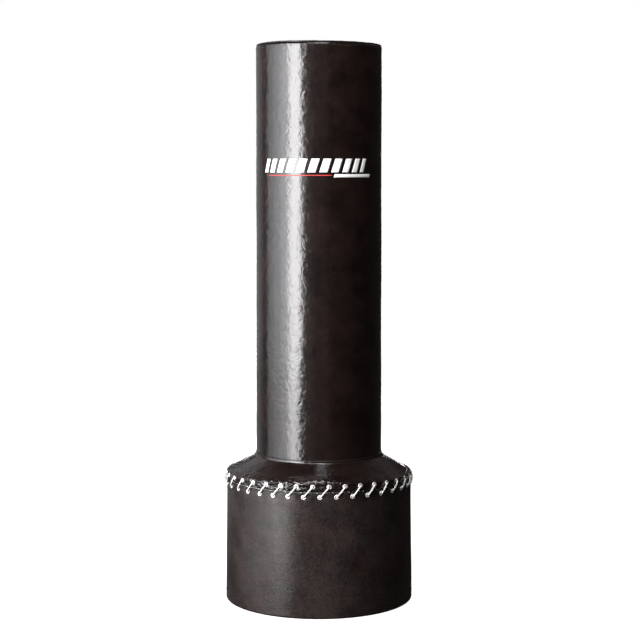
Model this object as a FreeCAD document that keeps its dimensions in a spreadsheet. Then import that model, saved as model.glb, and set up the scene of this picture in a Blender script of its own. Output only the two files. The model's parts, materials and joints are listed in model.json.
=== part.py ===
"""Free standing martial arts bag: a padded column that sways on a sprung neck over a weighted base.

The origin is the middle of the underside, Z is up, and sizes are in millimetres. A bearing is
counted from the front of the bag (-Y) towards its right-hand side (+X).
"""

import FreeCAD, Part
import math
import os

import Sketcher

Vector = FreeCAD.Vector

# Driving dimensions
DRIVING_DIMENSIONS = {
    # Covers
    "cover_thickness": 2,
    "column_radius": 180,
    "total_height": 1610,
    "column_corner_radius": 10,
    "column_hem_width": 15,
    "crown_rise": 5.5,
    "welt_radius": 2.5,
    # Base wall
    "shoulder_reach": 89,
    "base_height": 355,
    "base_spread": 4,
    "base_corner_radius": 4,
    "base_hem_width": 25,
    # Laced skirt, with its collar round the column
    "lace_gap": 4,
    "skirt_side": 22,
    "skirt_rise": 43,
    "skirt_corner_radius": 6,
    "collar_gap": 3.5,
    "collar_lip": 6.5,
    "collar_corner_radius": 8,
    "rim_binding_radius": 1.4,
    # Lacing
    "stitch_count": 36,
    "lacing_start": 0.5,
    "stitch_lean": 5.4,
    "lace_diameter": 4.4,
    "lace_bend_radius": 4,
    "eyelet_play": 3,
    "eyelet_wall": 0.8,
    "eyelet_flange": 3.2,
    "eyelet_edge_distance": 10.5,
    "skirt_eyelet_height": 13,
    "band_height": 18,
    # Tank
    "tank_gap": 15,
    "tank_wall": 5,
    "tank_corner_radius": 20,
    "tank_shoulder_radius": 8,
    "sand_height": 200,
    "well_radius": 110,
    "well_depth": 85,
    "well_floor": 18,
    # Filler neck and cap
    "filler_inset": 28,
    "filler_bore_radius": 15,
    "filler_neck_wall": 4,
    "filler_neck_height": 10.5,
    "gasket_thickness": 2,
    "cap_wall": 4,
    "cap_grip_radius": 2,
    "cap_grip_count": 12,
    # Base padding
    "shoulder_pad_height": 23,
    "shoulder_pad_inset": 20,
    "pad_notch_radius": 28,
    # Sprung neck
    "spring_length": 128,
    "spring_mean_radius": 50,
    "spring_wire_radius": 10,
    "spring_pitch": 28,
    "neck_plate_radius": 95,
    "neck_plate_thickness": 6,
    "clamp_wall": 7.5,
    "clamp_height": 28,
    "clamp_flange_radius": 92,
    "clamp_flange_thickness": 6,
    # Fasteners
    "bolt_count": 4,
    "bolt_circle": 80,
    "bolt_radius": 5,
    "bolt_head_width": 17,
    "bolt_head_height": 7,
    "insert_radius": 9,
    "insert_depth": 15,
    # Column core
    "foot_plate_inset": 28,
    "foot_plate_thickness": 18,
    "tube_radius": 55,
    "tube_wall": 5,
    "core_flange_radius": 98,
    "core_flange_thickness": 8,
    "core_collar_wall": 5,
    "core_collar_height": 40,
    "inner_foam_radius": 105,
    "core_headroom": 20,
    "tube_cap_thickness": 5,
    "tube_plug_depth": 15,
    # Clearances
    "fit_clearance": 0.1,
    "moving_clearance": 0.5,
}

doc = FreeCAD.newDocument("standing_bag")
dims = doc.addObject("Spreadsheet::Sheet", "dims")
for row, (name, size) in enumerate(DRIVING_DIMENSIONS.items(), start=1):
    dims.set(f"A{row}", str(size))
    dims.setAlias(f"A{row}", name)
doc.recompute()

# Radii that pieces share
WALL_RADIUS = "(dims.column_radius + dims.shoulder_reach)"
WALL_LINING = f"({WALL_RADIUS} - dims.cover_thickness)"
BAND_LINING = f"({WALL_LINING} - dims.cover_thickness)"
FLOOR_RADIUS = f"({WALL_RADIUS} + dims.base_spread)"
FLOOR_LINING = f"({FLOOR_RADIUS} - dims.cover_thickness)"
HEM_RADIUS = f"({FLOOR_RADIUS} - dims.base_hem_width)"
TANK_RADIUS = f"({WALL_LINING} - dims.tank_gap)"
FILLER_RADIUS = f"({TANK_RADIUS} - dims.filler_inset)"
COLUMN_LINING = "(dims.column_radius - dims.cover_thickness)"
FOOT_PLATE_RADIUS = f"({COLUMN_LINING} - dims.foot_plate_inset)"
COLUMN_HEM_RADIUS = "(dims.column_radius - dims.column_hem_width)"
COLLAR_LINING = "(dims.column_radius + dims.collar_gap)"
COLLAR_RADIUS = f"({COLLAR_LINING} + dims.cover_thickness)"
SKIRT_SPLIT_RADIUS = f"(({COLLAR_RADIUS} + {WALL_RADIUS}) / 2)"

# Heights that pieces share
SKIRT_EDGE = "(dims.base_height + dims.lace_gap)"
SKIRT_CORNER = f"({SKIRT_EDGE} + dims.skirt_side)"
COLLAR_FOOT = f"({SKIRT_CORNER} + dims.skirt_rise)"
COLLAR_TOP = f"({COLLAR_FOOT} + dims.collar_lip)"
BAND_FOOT = "(dims.base_height - dims.band_height)"
CHANNEL_FLOOR = f"({BAND_FOOT} - dims.lace_gap)"
WELL_FLOOR = "(dims.base_height - dims.well_depth)"
WELL_UNDERSIDE = f"({WELL_FLOOR} - dims.well_floor)"
SPRING_FOOT = f"({WELL_FLOOR} + dims.neck_plate_thickness)"
SPRING_TOP = f"({SPRING_FOOT} + dims.spring_length)"
COLUMN_FOOT = f"({SPRING_TOP} - dims.cover_thickness)"
PLATE_TOP = f"({SPRING_TOP} + dims.foot_plate_thickness)"
CORE_FLANGE_TOP = f"({PLATE_TOP} + dims.core_flange_thickness)"
CORE_COLLAR_TOP = f"({CORE_FLANGE_TOP} + dims.core_collar_height)"
CORE_TOP = "(dims.total_height - dims.core_headroom)"
TUBE_TOP = f"({CORE_TOP} - dims.tube_cap_thickness)"
CROWN_EDGE = "(dims.total_height - dims.crown_rise)"
WELT_HEIGHT = f"({CROWN_EDGE} - 0.25 * dims.cover_thickness)"
COVER_TOP = f"({WELT_HEIGHT} - dims.welt_radius - dims.fit_clearance)"
FILLER_NECK_TOP = "(dims.base_height + dims.filler_neck_height)"
GASKET_TOP = f"({FILLER_NECK_TOP} + dims.gasket_thickness)"
LOWER_EYELET = "(dims.base_height - dims.eyelet_edge_distance)"
UPPER_EYELET = f"({SKIRT_EDGE} + dims.skirt_eyelet_height)"

# Lacing and its holes
LACE_RADIUS = "(dims.lace_diameter / 2)"
EYELET_BORE = f"({LACE_RADIUS} + dims.eyelet_play / 2)"
EYELET_RADIUS = f"({EYELET_BORE} + dims.eyelet_wall)"
EYELET_HOLE = f"({EYELET_RADIUS} + dims.fit_clearance)"
EYELET_FLANGE_RADIUS = f"({EYELET_BORE} + dims.eyelet_flange)"
EYELET_FACE = f"({WALL_RADIUS} + dims.eyelet_wall)"
EYELET_BACK = f"({BAND_LINING} - dims.fit_clearance - dims.eyelet_wall)"
LACE_OUTSIDE = f"({WALL_RADIUS} + dims.lace_bend_radius)"
LACE_INSIDE = f"({EYELET_BACK} - dims.lace_diameter * 0.6)"
CHANNEL_RADIUS = f"({LACE_INSIDE} - dims.lace_diameter * 0.6)"

# Slope of the skirt, and how far its lining lies below its outside along an upright line
SKIRT_SLOPE = f"(dims.skirt_rise / ({WALL_RADIUS} - {COLLAR_RADIUS}))"
SKIRT_DROP = f"(dims.cover_thickness * sqrt(1 + {SKIRT_SLOPE}^2))"


def value(expression):
    """The number that an expression of the driving dimensions stands for."""
    return float(dims.evalExpression(expression))


def origin_feature(body, role):
    """The plane or axis of the body's own origin that has this role."""
    return next(feature for feature in body.Origin.OriginFeatures if feature.Role == role)


def new_body(name):
    """An empty body, which may hold several separate solids."""
    body = doc.addObject("PartDesign::Body", name)
    body.Label = name
    body.AllowCompound = True
    return body


def new_sketch(body, name, plane, height="0"):
    """A sketch on one of the body's origin planes, raised along its normal by height."""
    sketch = body.newObject("Sketcher::SketchObject", name)
    sketch.AttachmentSupport = (origin_feature(body, plane), [""])
    sketch.MapMode = "FlatFace"
    if height != "0":
        sketch.setExpression("AttachmentOffset.Base.z", height)
    doc.recompute()
    return sketch


def fix_point(sketch, geometry, point, across, up):
    """Hold a sketch point at two expressions, measured from the sketch's origin."""
    for direction, expression in (("DistanceX", across), ("DistanceY", up)):
        constraint = Sketcher.Constraint(direction, -1, 1, geometry, point, value(expression))
        number = sketch.addConstraint(constraint)
        sketch.setExpression(f"Constraints[{number}]", expression)


def draw_outline(sketch, corners):
    """A closed outline of straight sides through corners, each a pair of expressions."""
    places = [Vector(value(across), value(up), 0) for across, up in corners]
    for start, end in zip(places, places[1:] + places[:1]):
        sketch.addGeometry(Part.LineSegment(start, end), False)
    for side in range(len(corners)):
        sketch.addConstraint(Sketcher.Constraint("Coincident", side, 2, (side + 1) % len(corners), 1))
    for side, (across, up) in enumerate(corners):
        fix_point(sketch, side, 1, across, up)
    doc.recompute()


def draw_circle(sketch, across, up, radius):
    """A circle with its middle and its radius held at expressions."""
    middle = Vector(value(across), value(up), 0)
    number = sketch.addGeometry(Part.Circle(middle, Vector(0, 0, 1), value(radius)), False)
    fix_point(sketch, number, 3, across, up)
    size = sketch.addConstraint(Sketcher.Constraint("Radius", number, value(radius)))
    sketch.setExpression(f"Constraints[{size}]", radius)
    doc.recompute()


def edge_at(shape, radius, height):
    """The name of the round edge about the upright axis with this radius and height."""
    for number, edge in enumerate(shape.Edges, start=1):
        if edge.Curve.TypeId != "Part::GeomCircle":
            continue
        same_radius = abs(edge.Curve.Radius - value(radius)) < 0.001
        same_height = abs(edge.Curve.Center.z - value(height)) < 0.001
        if same_radius and same_height:
            return f"Edge{number}"
    raise ValueError(f"no round edge at {radius}, {height}")


def round_edges(body, rounds):
    """Fillet round edges of the body: each is a radius and height, and the fillet's radius."""
    for number, (radius, height, fillet_radius) in enumerate(rounds):
        base = body.Tip
        fillet = body.newObject("PartDesign::Fillet", f"{body.Name}_round_{number}")
        fillet.Base = (base, [edge_at(base.Shape, radius, height)])
        fillet.setExpression("Radius", fillet_radius)
        doc.recompute()


def turned_body(name, corners, rounds=()):
    """A body turned about the upright axis from corners of (radius, height) expressions."""
    body = new_body(name)
    sketch = new_sketch(body, f"{name}_outline", "XZ_Plane")
    draw_outline(sketch, corners)
    turn = body.newObject("PartDesign::Revolution", f"{name}_turn")
    turn.Profile = sketch
    turn.ReferenceAxis = (sketch, ["V_Axis"])
    turn.Angle = 360
    doc.recompute()
    round_edges(body, rounds)
    return body


def turned_groove(body, corners, rounds=()):
    """Cut a turned hollow out of the body."""
    sketch = new_sketch(body, f"{body.Name}_hollow_outline", "XZ_Plane")
    draw_outline(sketch, corners)
    groove = body.newObject("PartDesign::Groove", f"{body.Name}_hollow")
    groove.Profile = sketch
    groove.ReferenceAxis = (sketch, ["V_Axis"])
    groove.Angle = 360
    doc.recompute()
    round_edges(body, rounds)


def upright_pad(body, name, height, draw, length):
    """Raise what draw puts in a level sketch at height by length."""
    sketch = new_sketch(body, f"{name}_outline", "XY_Plane", height)
    draw(sketch)
    pad = body.newObject("PartDesign::Pad", name)
    pad.Profile = sketch
    pad.setExpression("Length", length)
    doc.recompute()
    return pad


def pocket_down(body, name, height, draw, depth):
    """Cut what draw puts in a level sketch at height down by depth."""
    before = body.Shape.Volume
    sketch = new_sketch(body, f"{name}_outline", "XY_Plane", height)
    draw(sketch)
    pocket = body.newObject("PartDesign::Pocket", name)
    pocket.Profile = sketch
    pocket.setExpression("Length", depth)
    doc.recompute()
    if body.Shape.Volume >= before:
        raise ValueError(f"{name} cuts nothing")
    return pocket


def repeat_round(body, name, features, count):
    """Repeat features round the body's upright axis."""
    pattern = body.newObject("PartDesign::PolarPattern", name)
    pattern.Originals = features
    pattern.Axis = (origin_feature(body, "Z_Axis"), [""])
    pattern.Angle = 360
    pattern.setExpression("Occurrences", count)
    body.Tip = pattern
    doc.recompute()


def pierce_wall(body, height):
    """Pierce the body's upright wall with the ring of holes that the eyelets sit in."""
    before = body.Shape.Volume
    sketch = new_sketch(body, f"{body.Name}_hole_outline", "YZ_Plane")
    draw_circle(sketch, "0", height, EYELET_HOLE)
    hole = body.newObject("PartDesign::Pocket", f"{body.Name}_hole")
    hole.Profile = sketch
    hole.Reversed = True
    hole.setExpression("Length", EYELET_FACE)
    doc.recompute()
    repeat_round(body, f"{body.Name}_holes", [hole], "dims.stitch_count")
    if body.Shape.Volume >= before:
        raise ValueError(f"{body.Name} has no holes")


def face_bearing(feature, bearing):
    """Turn a feature so that its own +X side faces the bearing."""
    feature.Placement = FreeCAD.Placement(Vector(0, 0, 0), Vector(0, 0, 1), value(bearing) - 90)
    feature.setExpression("Placement.Rotation.Angle", f"({bearing} - 90) * 1 deg")


def skirt_height(radius, below="0"):
    """Height of the skirt's sloping outside at a radius, less what lies below it."""
    return f"({SKIRT_CORNER} + ({WALL_RADIUS} - {radius}) * {SKIRT_SLOPE} - {below})"


LOWER_BEARING = "dims.lacing_start"
UPPER_BEARING = "(dims.lacing_start + dims.stitch_lean)"


# Base cover and skirt
def base_cover_wall():
    """The upright side of the base cover, turned in under the base as a hem."""
    body = turned_body(
        "base_cover_wall",
        [
            (HEM_RADIUS, "0"),
            (FLOOR_RADIUS, "0"),
            (WALL_RADIUS, CHANNEL_FLOOR),
            (WALL_RADIUS, "dims.base_height"),
            (WALL_LINING, "dims.base_height"),
            (WALL_LINING, CHANNEL_FLOOR),
            (FLOOR_LINING, "dims.cover_thickness"),
            (HEM_RADIUS, "dims.cover_thickness"),
        ],
        [
            (FLOOR_RADIUS, "0", "dims.base_corner_radius"),
            (FLOOR_LINING, "dims.cover_thickness", "dims.base_corner_radius - dims.cover_thickness"),
        ],
    )
    pierce_wall(body, LOWER_EYELET)
    face_bearing(body, LOWER_BEARING)


def base_cover_bottom():
    """The disc that closes the base cover underneath."""
    disc = doc.addObject("Part::Cylinder", "base_cover_bottom")
    disc.setExpression("Radius", HEM_RADIUS)
    disc.setExpression("Height", "dims.cover_thickness")


def eyelet_band(name, foot, top, eyelet_height, bearing):
    """A strip sewn behind the eyelets to hold them."""
    corners = [(BAND_LINING, foot), (WALL_LINING, foot), (WALL_LINING, top), (BAND_LINING, top)]
    body = turned_body(name, corners)
    pierce_wall(body, eyelet_height)
    face_bearing(body, bearing)


def eyelet_ring(name, height, bearing):
    """Rolled eyelets, each a barrel with a flange at either end, lying along a radius."""
    body = new_body(name)
    sketch = new_sketch(body, f"{name}_outline", "XZ_Plane")
    draw_outline(
        sketch,
        [
            (EYELET_BACK, EYELET_BORE),
            (EYELET_FACE, EYELET_BORE),
            (EYELET_FACE, EYELET_FLANGE_RADIUS),
            (WALL_RADIUS, EYELET_FLANGE_RADIUS),
            (WALL_RADIUS, EYELET_RADIUS),
            (f"{EYELET_BACK} + dims.eyelet_wall", EYELET_RADIUS),
            (f"{EYELET_BACK} + dims.eyelet_wall", EYELET_FLANGE_RADIUS),
            (EYELET_BACK, EYELET_FLANGE_RADIUS),
        ],
    )
    turn = body.newObject("PartDesign::Revolution", f"{name}_turn")
    turn.Profile = sketch
    turn.ReferenceAxis = (sketch, ["H_Axis"])
    turn.Angle = 360
    doc.recompute()
    repeat_round(body, f"{name}_ring", [turn], "dims.stitch_count")
    face_bearing(body, bearing)
    body.setExpression("Placement.Base.z", height)


def skirt_outer_panel():
    """The skirt's upright side, which the lacing holds, and the outer half of its slope."""
    body = turned_body(
        "skirt_outer_panel",
        [
            (WALL_RADIUS, SKIRT_EDGE),
            (WALL_RADIUS, SKIRT_CORNER),
            (SKIRT_SPLIT_RADIUS, skirt_height(SKIRT_SPLIT_RADIUS)),
            (SKIRT_SPLIT_RADIUS, skirt_height(SKIRT_SPLIT_RADIUS, SKIRT_DROP)),
            (WALL_LINING, skirt_height(WALL_LINING, SKIRT_DROP)),
            (WALL_LINING, SKIRT_EDGE),
        ],
        [
            (WALL_RADIUS, SKIRT_CORNER, "dims.skirt_corner_radius"),
            (
                WALL_LINING,
                skirt_height(WALL_LINING, SKIRT_DROP),
                "dims.skirt_corner_radius - dims.cover_thickness",
            ),
        ],
    )
    pierce_wall(body, UPPER_EYELET)
    face_bearing(body, UPPER_BEARING)


def skirt_inner_panel():
    """The inner half of the skirt's slope, turned up as a collar round the column."""
    turned_body(
        "skirt_inner_panel",
        [
            (SKIRT_SPLIT_RADIUS, skirt_height(SKIRT_SPLIT_RADIUS)),
            (COLLAR_RADIUS, COLLAR_FOOT),
            (COLLAR_RADIUS, COLLAR_TOP),
            (COLLAR_LINING, COLLAR_TOP),
            (COLLAR_LINING, skirt_height(COLLAR_LINING, SKIRT_DROP)),
            (SKIRT_SPLIT_RADIUS, skirt_height(SKIRT_SPLIT_RADIUS, SKIRT_DROP)),
        ],
        [
            (COLLAR_RADIUS, COLLAR_FOOT, "dims.collar_corner_radius"),
            (
                COLLAR_LINING,
                skirt_height(COLLAR_LINING, SKIRT_DROP),
                "dims.collar_corner_radius + dims.cover_thickness",
            ),
        ],
    )


def collar_rim_binding():
    """The rolled edge that finishes the top of the collar."""
    binding = doc.addObject("Part::Torus", "collar_rim_binding")
    binding.setExpression("Radius1", f"({COLLAR_LINING} + {COLLAR_RADIUS}) / 2")
    binding.setExpression("Radius2", "dims.rim_binding_radius")
    binding.setExpression("Placement.Base.z", f"{COLLAR_TOP} + dims.rim_binding_radius")


# Lacing
def on_circle(radius, bearing, height):
    """A point at a radius, bearing and height, all given as expressions."""
    angle = math.radians(value(bearing))
    return Vector(value(radius) * math.sin(angle), -value(radius) * math.cos(angle), value(height))


def rounded_path(points, radius):
    """A wire through points, with each corner turned by a tangent arc of the radius."""
    edges = []
    start = points[0]
    for before, corner, after in zip(points, points[1:], points[2:]):
        back = (before - corner).normalize()
        ahead = (after - corner).normalize()
        half_angle = back.getAngle(ahead) / 2
        reach = radius / math.tan(half_angle)
        middle = (back + ahead).normalize() * (radius / math.sin(half_angle) - radius)
        edges.append(Part.LineSegment(start, corner + back * reach).toShape())
        edges.append(Part.Arc(corner + back * reach, corner + middle, corner + ahead * reach).toShape())
        start = corner + ahead * reach
    edges.append(Part.LineSegment(start, points[-1]).toShape())
    return Part.Wire(edges)


def lace_stitch():
    """One stitch: out of a lower eyelet, up over the gap, in at an upper one and back down inside."""
    next_bearing = f"({LOWER_BEARING} + 360 / dims.stitch_count)"
    in_wall = f"({WALL_RADIUS} + {BAND_LINING}) / 2"
    points = [
        on_circle(in_wall, LOWER_BEARING, LOWER_EYELET),
        on_circle(LACE_OUTSIDE, LOWER_BEARING, LOWER_EYELET),
        on_circle(LACE_OUTSIDE, UPPER_BEARING, UPPER_EYELET),
        on_circle(LACE_INSIDE, UPPER_BEARING, UPPER_EYELET),
        on_circle(LACE_INSIDE, next_bearing, LOWER_EYELET),
        on_circle(in_wall, next_bearing, LOWER_EYELET),
    ]
    path = rounded_path(points, value("dims.lace_bend_radius"))
    section = Part.Circle(points[0], points[1] - points[0], value(LACE_RADIUS))
    tube = path.makePipeShell([Part.Wire(section.toShape())], True, False)
    drawn = math.pi * value(LACE_RADIUS) ** 2 * path.Length
    if abs(tube.Volume / drawn - 1) > 0.01:
        raise ValueError("the lace is not as thick as its path and section make it")
    return tube


def lacing_cord():
    """The lace, one endless run of equal stitches round the base."""
    stitch = lace_stitch()
    pitch = 360 / value("dims.stitch_count")
    stitches = []
    for number in range(round(value("dims.stitch_count"))):
        copy = stitch.copy()
        copy.rotate(Vector(0, 0, 0), Vector(0, 0, 1), number * pitch)
        stitches.append(copy)
    lace = doc.addObject("Part::Feature", "lacing_cord")
    lace.Shape = stitches[0].multiFuse(stitches[1:])
    return lace


def lace_knot(lace):
    """The knot at the back, where the lace's two ends meet."""
    stitch = "floor(dims.stitch_count / 2)"
    bearing = f"(dims.lacing_start + {stitch} * 360 / dims.stitch_count + dims.stitch_lean / 2)"
    lump = doc.addObject("Part::Ellipsoid", "knot_lump")
    lump.setExpression("Radius1", "1.6 * dims.lace_diameter")
    lump.setExpression("Radius2", "0.95 * dims.lace_diameter")
    lump.setExpression("Radius3", "1.6 * dims.lace_diameter")
    radius = f"({WALL_RADIUS} + dims.lace_diameter)"
    lump.Placement = FreeCAD.Placement(
        on_circle(radius, bearing, f"({LOWER_EYELET} + {UPPER_EYELET}) / 2"),
        FreeCAD.Rotation(Vector(0, 0, 1), value(bearing) - 90),
    )
    knot = doc.addObject("Part::Cut", "lace_knot")
    knot.Base = lump
    knot.Tool = lace


# Tank, its filling and its padding
def base_tank():
    """The hollow tank that weighs the bag down, with a well for the neck and a filler neck."""
    body = turned_body(
        "base_tank",
        [
            ("0", "dims.cover_thickness"),
            (TANK_RADIUS, "dims.cover_thickness"),
            (TANK_RADIUS, "dims.base_height"),
            ("dims.well_radius", "dims.base_height"),
            ("dims.well_radius", WELL_FLOOR),
            ("0", WELL_FLOOR),
        ],
    )
    inside_radius = f"({TANK_RADIUS} - dims.tank_wall)"
    inside_floor = "(dims.cover_thickness + dims.tank_wall)"
    inside_top = "(dims.base_height - dims.tank_wall)"
    turned_groove(
        body,
        [
            ("0", inside_floor),
            (inside_radius, inside_floor),
            (inside_radius, inside_top),
            ("dims.well_radius + dims.tank_wall", inside_top),
            ("dims.well_radius + dims.tank_wall", WELL_UNDERSIDE),
            ("0", WELL_UNDERSIDE),
        ],
        [
            (inside_radius, inside_floor, "dims.tank_corner_radius - dims.tank_wall"),
            (TANK_RADIUS, "dims.cover_thickness", "dims.tank_corner_radius"),
            (TANK_RADIUS, "dims.base_height", "dims.tank_shoulder_radius"),
            ("dims.well_radius", "dims.base_height", "dims.tank_wall"),
        ],
    )
    upright_pad(
        body,
        "filler_neck",
        "dims.base_height",
        lambda sketch: draw_circle(
            sketch, "0", FILLER_RADIUS, "dims.filler_bore_radius + dims.filler_neck_wall"
        ),
        "dims.filler_neck_height",
    )
    pocket_down(
        body,
        "filler_bore",
        FILLER_NECK_TOP,
        lambda sketch: draw_circle(sketch, "0", FILLER_RADIUS, "dims.filler_bore_radius"),
        "dims.filler_neck_height + dims.tank_wall + 1",
    )
    insert_hole = pocket_down(
        body,
        "insert_hole",
        WELL_FLOOR,
        lambda sketch: draw_circle(sketch, "dims.bolt_circle", "0", "dims.insert_radius"),
        "dims.insert_depth",
    )
    repeat_round(body, "insert_holes", [insert_hole], "dims.bolt_count")


def ballast_sand():
    """The sand that fills the lower part of the tank."""
    radius = f"({TANK_RADIUS} - dims.tank_wall)"
    floor = "(dims.cover_thickness + dims.tank_wall)"
    turned_body(
        "ballast_sand",
        [("0", floor), (radius, floor), (radius, "dims.sand_height"), ("0", "dims.sand_height")],
        [(radius, floor, "dims.tank_corner_radius - dims.tank_wall")],
    )


def at_filler(feature, height):
    """Move a feature that is made on its own axis to the filler neck, with its foot at height."""
    feature.setExpression("Placement.Base.y", FILLER_RADIUS)
    feature.setExpression("Placement.Base.z", height)


def filler_gasket():
    """The flat ring that seals the cap on the filler neck."""
    outside = "dims.filler_bore_radius + dims.filler_neck_wall"
    body = turned_body(
        "filler_gasket",
        [
            ("dims.filler_bore_radius", "0"),
            (outside, "0"),
            (outside, "dims.gasket_thickness"),
            ("dims.filler_bore_radius", "dims.gasket_thickness"),
        ],
    )
    at_filler(body, FILLER_NECK_TOP)


def filler_cap():
    """The round cap, with finger grips round its side, that screws on the filler neck."""
    inside = "(dims.filler_bore_radius + dims.filler_neck_wall + dims.moving_clearance)"
    outside = f"({inside} + dims.cap_wall)"
    roof = "(dims.filler_neck_height + dims.gasket_thickness + dims.moving_clearance)"
    top = f"({roof} + dims.cap_wall)"
    body = turned_body(
        "filler_cap",
        [
            ("0", roof),
            (inside, roof),
            (inside, "dims.gasket_thickness"),
            (outside, "dims.gasket_thickness"),
            (outside, top),
            ("0", top),
        ],
        [(outside, top, "dims.cap_wall / 2")],
    )
    grip = pocket_down(
        body,
        "cap_grip",
        top,
        lambda sketch: draw_circle(sketch, outside, "0", "dims.cap_grip_radius"),
        f"{top} - dims.gasket_thickness",
    )
    repeat_round(body, "cap_grips", [grip], "dims.cap_grip_count")
    at_filler(body, "dims.base_height")


def base_foam_wrap():
    """The padding round the tank, cut back at the top to leave the lace a channel."""
    turned_body(
        "base_foam_wrap",
        [
            (TANK_RADIUS, "dims.cover_thickness"),
            (FLOOR_LINING, "dims.cover_thickness"),
            (WALL_LINING, CHANNEL_FLOOR),
            (CHANNEL_RADIUS, CHANNEL_FLOOR),
            (CHANNEL_RADIUS, "dims.base_height"),
            (TANK_RADIUS, "dims.base_height"),
        ],
        [(FLOOR_LINING, "dims.cover_thickness", "dims.base_corner_radius - dims.cover_thickness")],
    )


def shoulder_foam_ring():
    """The flat ring of padding under the skirt, notched round the filler cap."""
    inside = "(dims.column_radius + dims.shoulder_pad_inset)"
    top = "(dims.base_height + dims.shoulder_pad_height)"
    body = turned_body(
        "shoulder_foam_ring",
        [
            (inside, "dims.base_height"),
            (CHANNEL_RADIUS, "dims.base_height"),
            (CHANNEL_RADIUS, top),
            (inside, top),
        ],
    )
    pocket_down(
        body,
        "cap_notch",
        top,
        lambda sketch: draw_circle(sketch, "0", FILLER_RADIUS, "dims.pad_notch_radius"),
        "dims.shoulder_pad_height",
    )


# Sprung neck
def bolt_hole(body, name, top, depth):
    """Cut the ring of bolt holes down from the height top."""
    hole = pocket_down(
        body,
        name,
        top,
        lambda sketch: draw_circle(
            sketch, "dims.bolt_circle", "0", "dims.bolt_radius + dims.fit_clearance"
        ),
        depth,
    )
    repeat_round(body, f"{name}s", [hole], "dims.bolt_count")


def hexagon(sketch):
    """A hexagon about the bolt's axis, with its flats across the line to the middle."""
    corners = []
    for number in range(6):
        across = f"dims.bolt_circle + dims.bolt_head_width / sqrt(3) * cos({60 * number + 30} deg)"
        up = f"dims.bolt_head_width / sqrt(3) * sin({60 * number + 30} deg)"
        corners.append((across, up))
    draw_outline(sketch, corners)


def bolt_ring(name, shank_foot, shank_length, head_foot):
    """Hexagon headed bolts on the bolt circle."""
    body = new_body(name)
    shank = upright_pad(
        body,
        f"{name}_shank",
        shank_foot,
        lambda sketch: draw_circle(sketch, "dims.bolt_circle", "0", "dims.bolt_radius"),
        shank_length,
    )
    head = upright_pad(body, f"{name}_head", head_foot, hexagon, "dims.bolt_head_height")
    repeat_round(body, f"{name}_ring", [shank, head], "dims.bolt_count")


def tank_inserts():
    """The threaded bushes set in the floor of the well."""
    body = new_body("tank_inserts")
    foot = f"{WELL_FLOOR} - dims.insert_depth"

    def ring(sketch):
        draw_circle(sketch, "dims.bolt_circle", "0", "dims.insert_radius")
        draw_circle(sketch, "dims.bolt_circle", "0", "dims.bolt_radius + dims.fit_clearance")

    bush = upright_pad(body, "insert_bush", foot, ring, "dims.insert_depth")
    repeat_round(body, "insert_bushes", [bush], "dims.bolt_count")


def neck_base_plate():
    """The steel plate on the floor of the well that the spring stands on."""
    corners = [
        ("0", WELL_FLOOR),
        ("dims.neck_plate_radius", WELL_FLOOR),
        ("dims.neck_plate_radius", SPRING_FOOT),
        ("0", SPRING_FOOT),
    ]
    body = turned_body("neck_base_plate", corners)
    bolt_hole(body, "base_plate_hole", SPRING_FOOT, "dims.neck_plate_thickness")


def spring_clamp(name, flange_face, direction):
    """A flanged ring round one end of the spring: direction is + for a ring that stands up."""
    inside = "(dims.spring_mean_radius + dims.spring_wire_radius + dims.moving_clearance)"
    outside = f"({inside} + dims.clamp_wall)"
    flange_back = f"({flange_face} {direction} dims.clamp_flange_thickness)"
    end = f"({flange_face} {direction} dims.clamp_height)"
    body = turned_body(
        name,
        [
            (inside, flange_face),
            ("dims.clamp_flange_radius", flange_face),
            ("dims.clamp_flange_radius", flange_back),
            (outside, flange_back),
            (outside, end),
            (inside, end),
        ],
    )
    hole_top = flange_back if direction == "+" else flange_face
    bolt_hole(body, f"{name}_hole", hole_top, "dims.clamp_flange_thickness")


def neck_spring():
    """The coil spring between the base and the column, ground flat at both ends."""
    coil = doc.addObject("PartDesign::Body", "spring_coil")
    sketch = new_sketch(coil, "spring_wire_outline", "XZ_Plane")
    draw_circle(sketch, "dims.spring_mean_radius", SPRING_FOOT, "dims.spring_wire_radius")
    helix = coil.newObject("PartDesign::AdditiveHelix", "spring_helix")
    helix.Profile = sketch
    helix.ReferenceAxis = (sketch, ["V_Axis"])
    helix.Mode = 0
    helix.setExpression("Pitch", "dims.spring_pitch")
    helix.setExpression("Height", "dims.spring_length")
    doc.recompute()
    slab = doc.addObject("Part::Cylinder", "spring_slab")
    slab.setExpression("Radius", "2 * dims.spring_mean_radius")
    slab.setExpression("Height", "dims.spring_length")
    slab.setExpression("Placement.Base.z", SPRING_FOOT)
    spring = doc.addObject("Part::Common", "neck_spring")
    spring.Base = coil
    spring.Tool = slab


# Column core
def core_foot_plate():
    """The plywood disc that carries the column, bolted to the top of the spring."""
    corners = [
        ("0", SPRING_TOP),
        (FOOT_PLATE_RADIUS, SPRING_TOP),
        (FOOT_PLATE_RADIUS, PLATE_TOP),
        ("0", PLATE_TOP),
    ]
    body = turned_body("core_foot_plate", corners)
    bolt_hole(body, "foot_plate_hole", PLATE_TOP, "dims.foot_plate_thickness")


def core_lower_flange():
    """The flanged socket that holds the foot of the core tube."""
    collar = "(dims.tube_radius + dims.core_collar_wall)"
    body = turned_body(
        "core_lower_flange",
        [
            ("dims.tube_radius", PLATE_TOP),
            ("dims.core_flange_radius", PLATE_TOP),
            ("dims.core_flange_radius", CORE_FLANGE_TOP),
            (collar, CORE_FLANGE_TOP),
            (collar, CORE_COLLAR_TOP),
            ("dims.tube_radius", CORE_COLLAR_TOP),
        ],
    )
    bolt_hole(body, "core_flange_hole", CORE_FLANGE_TOP, "dims.core_flange_thickness")


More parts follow.
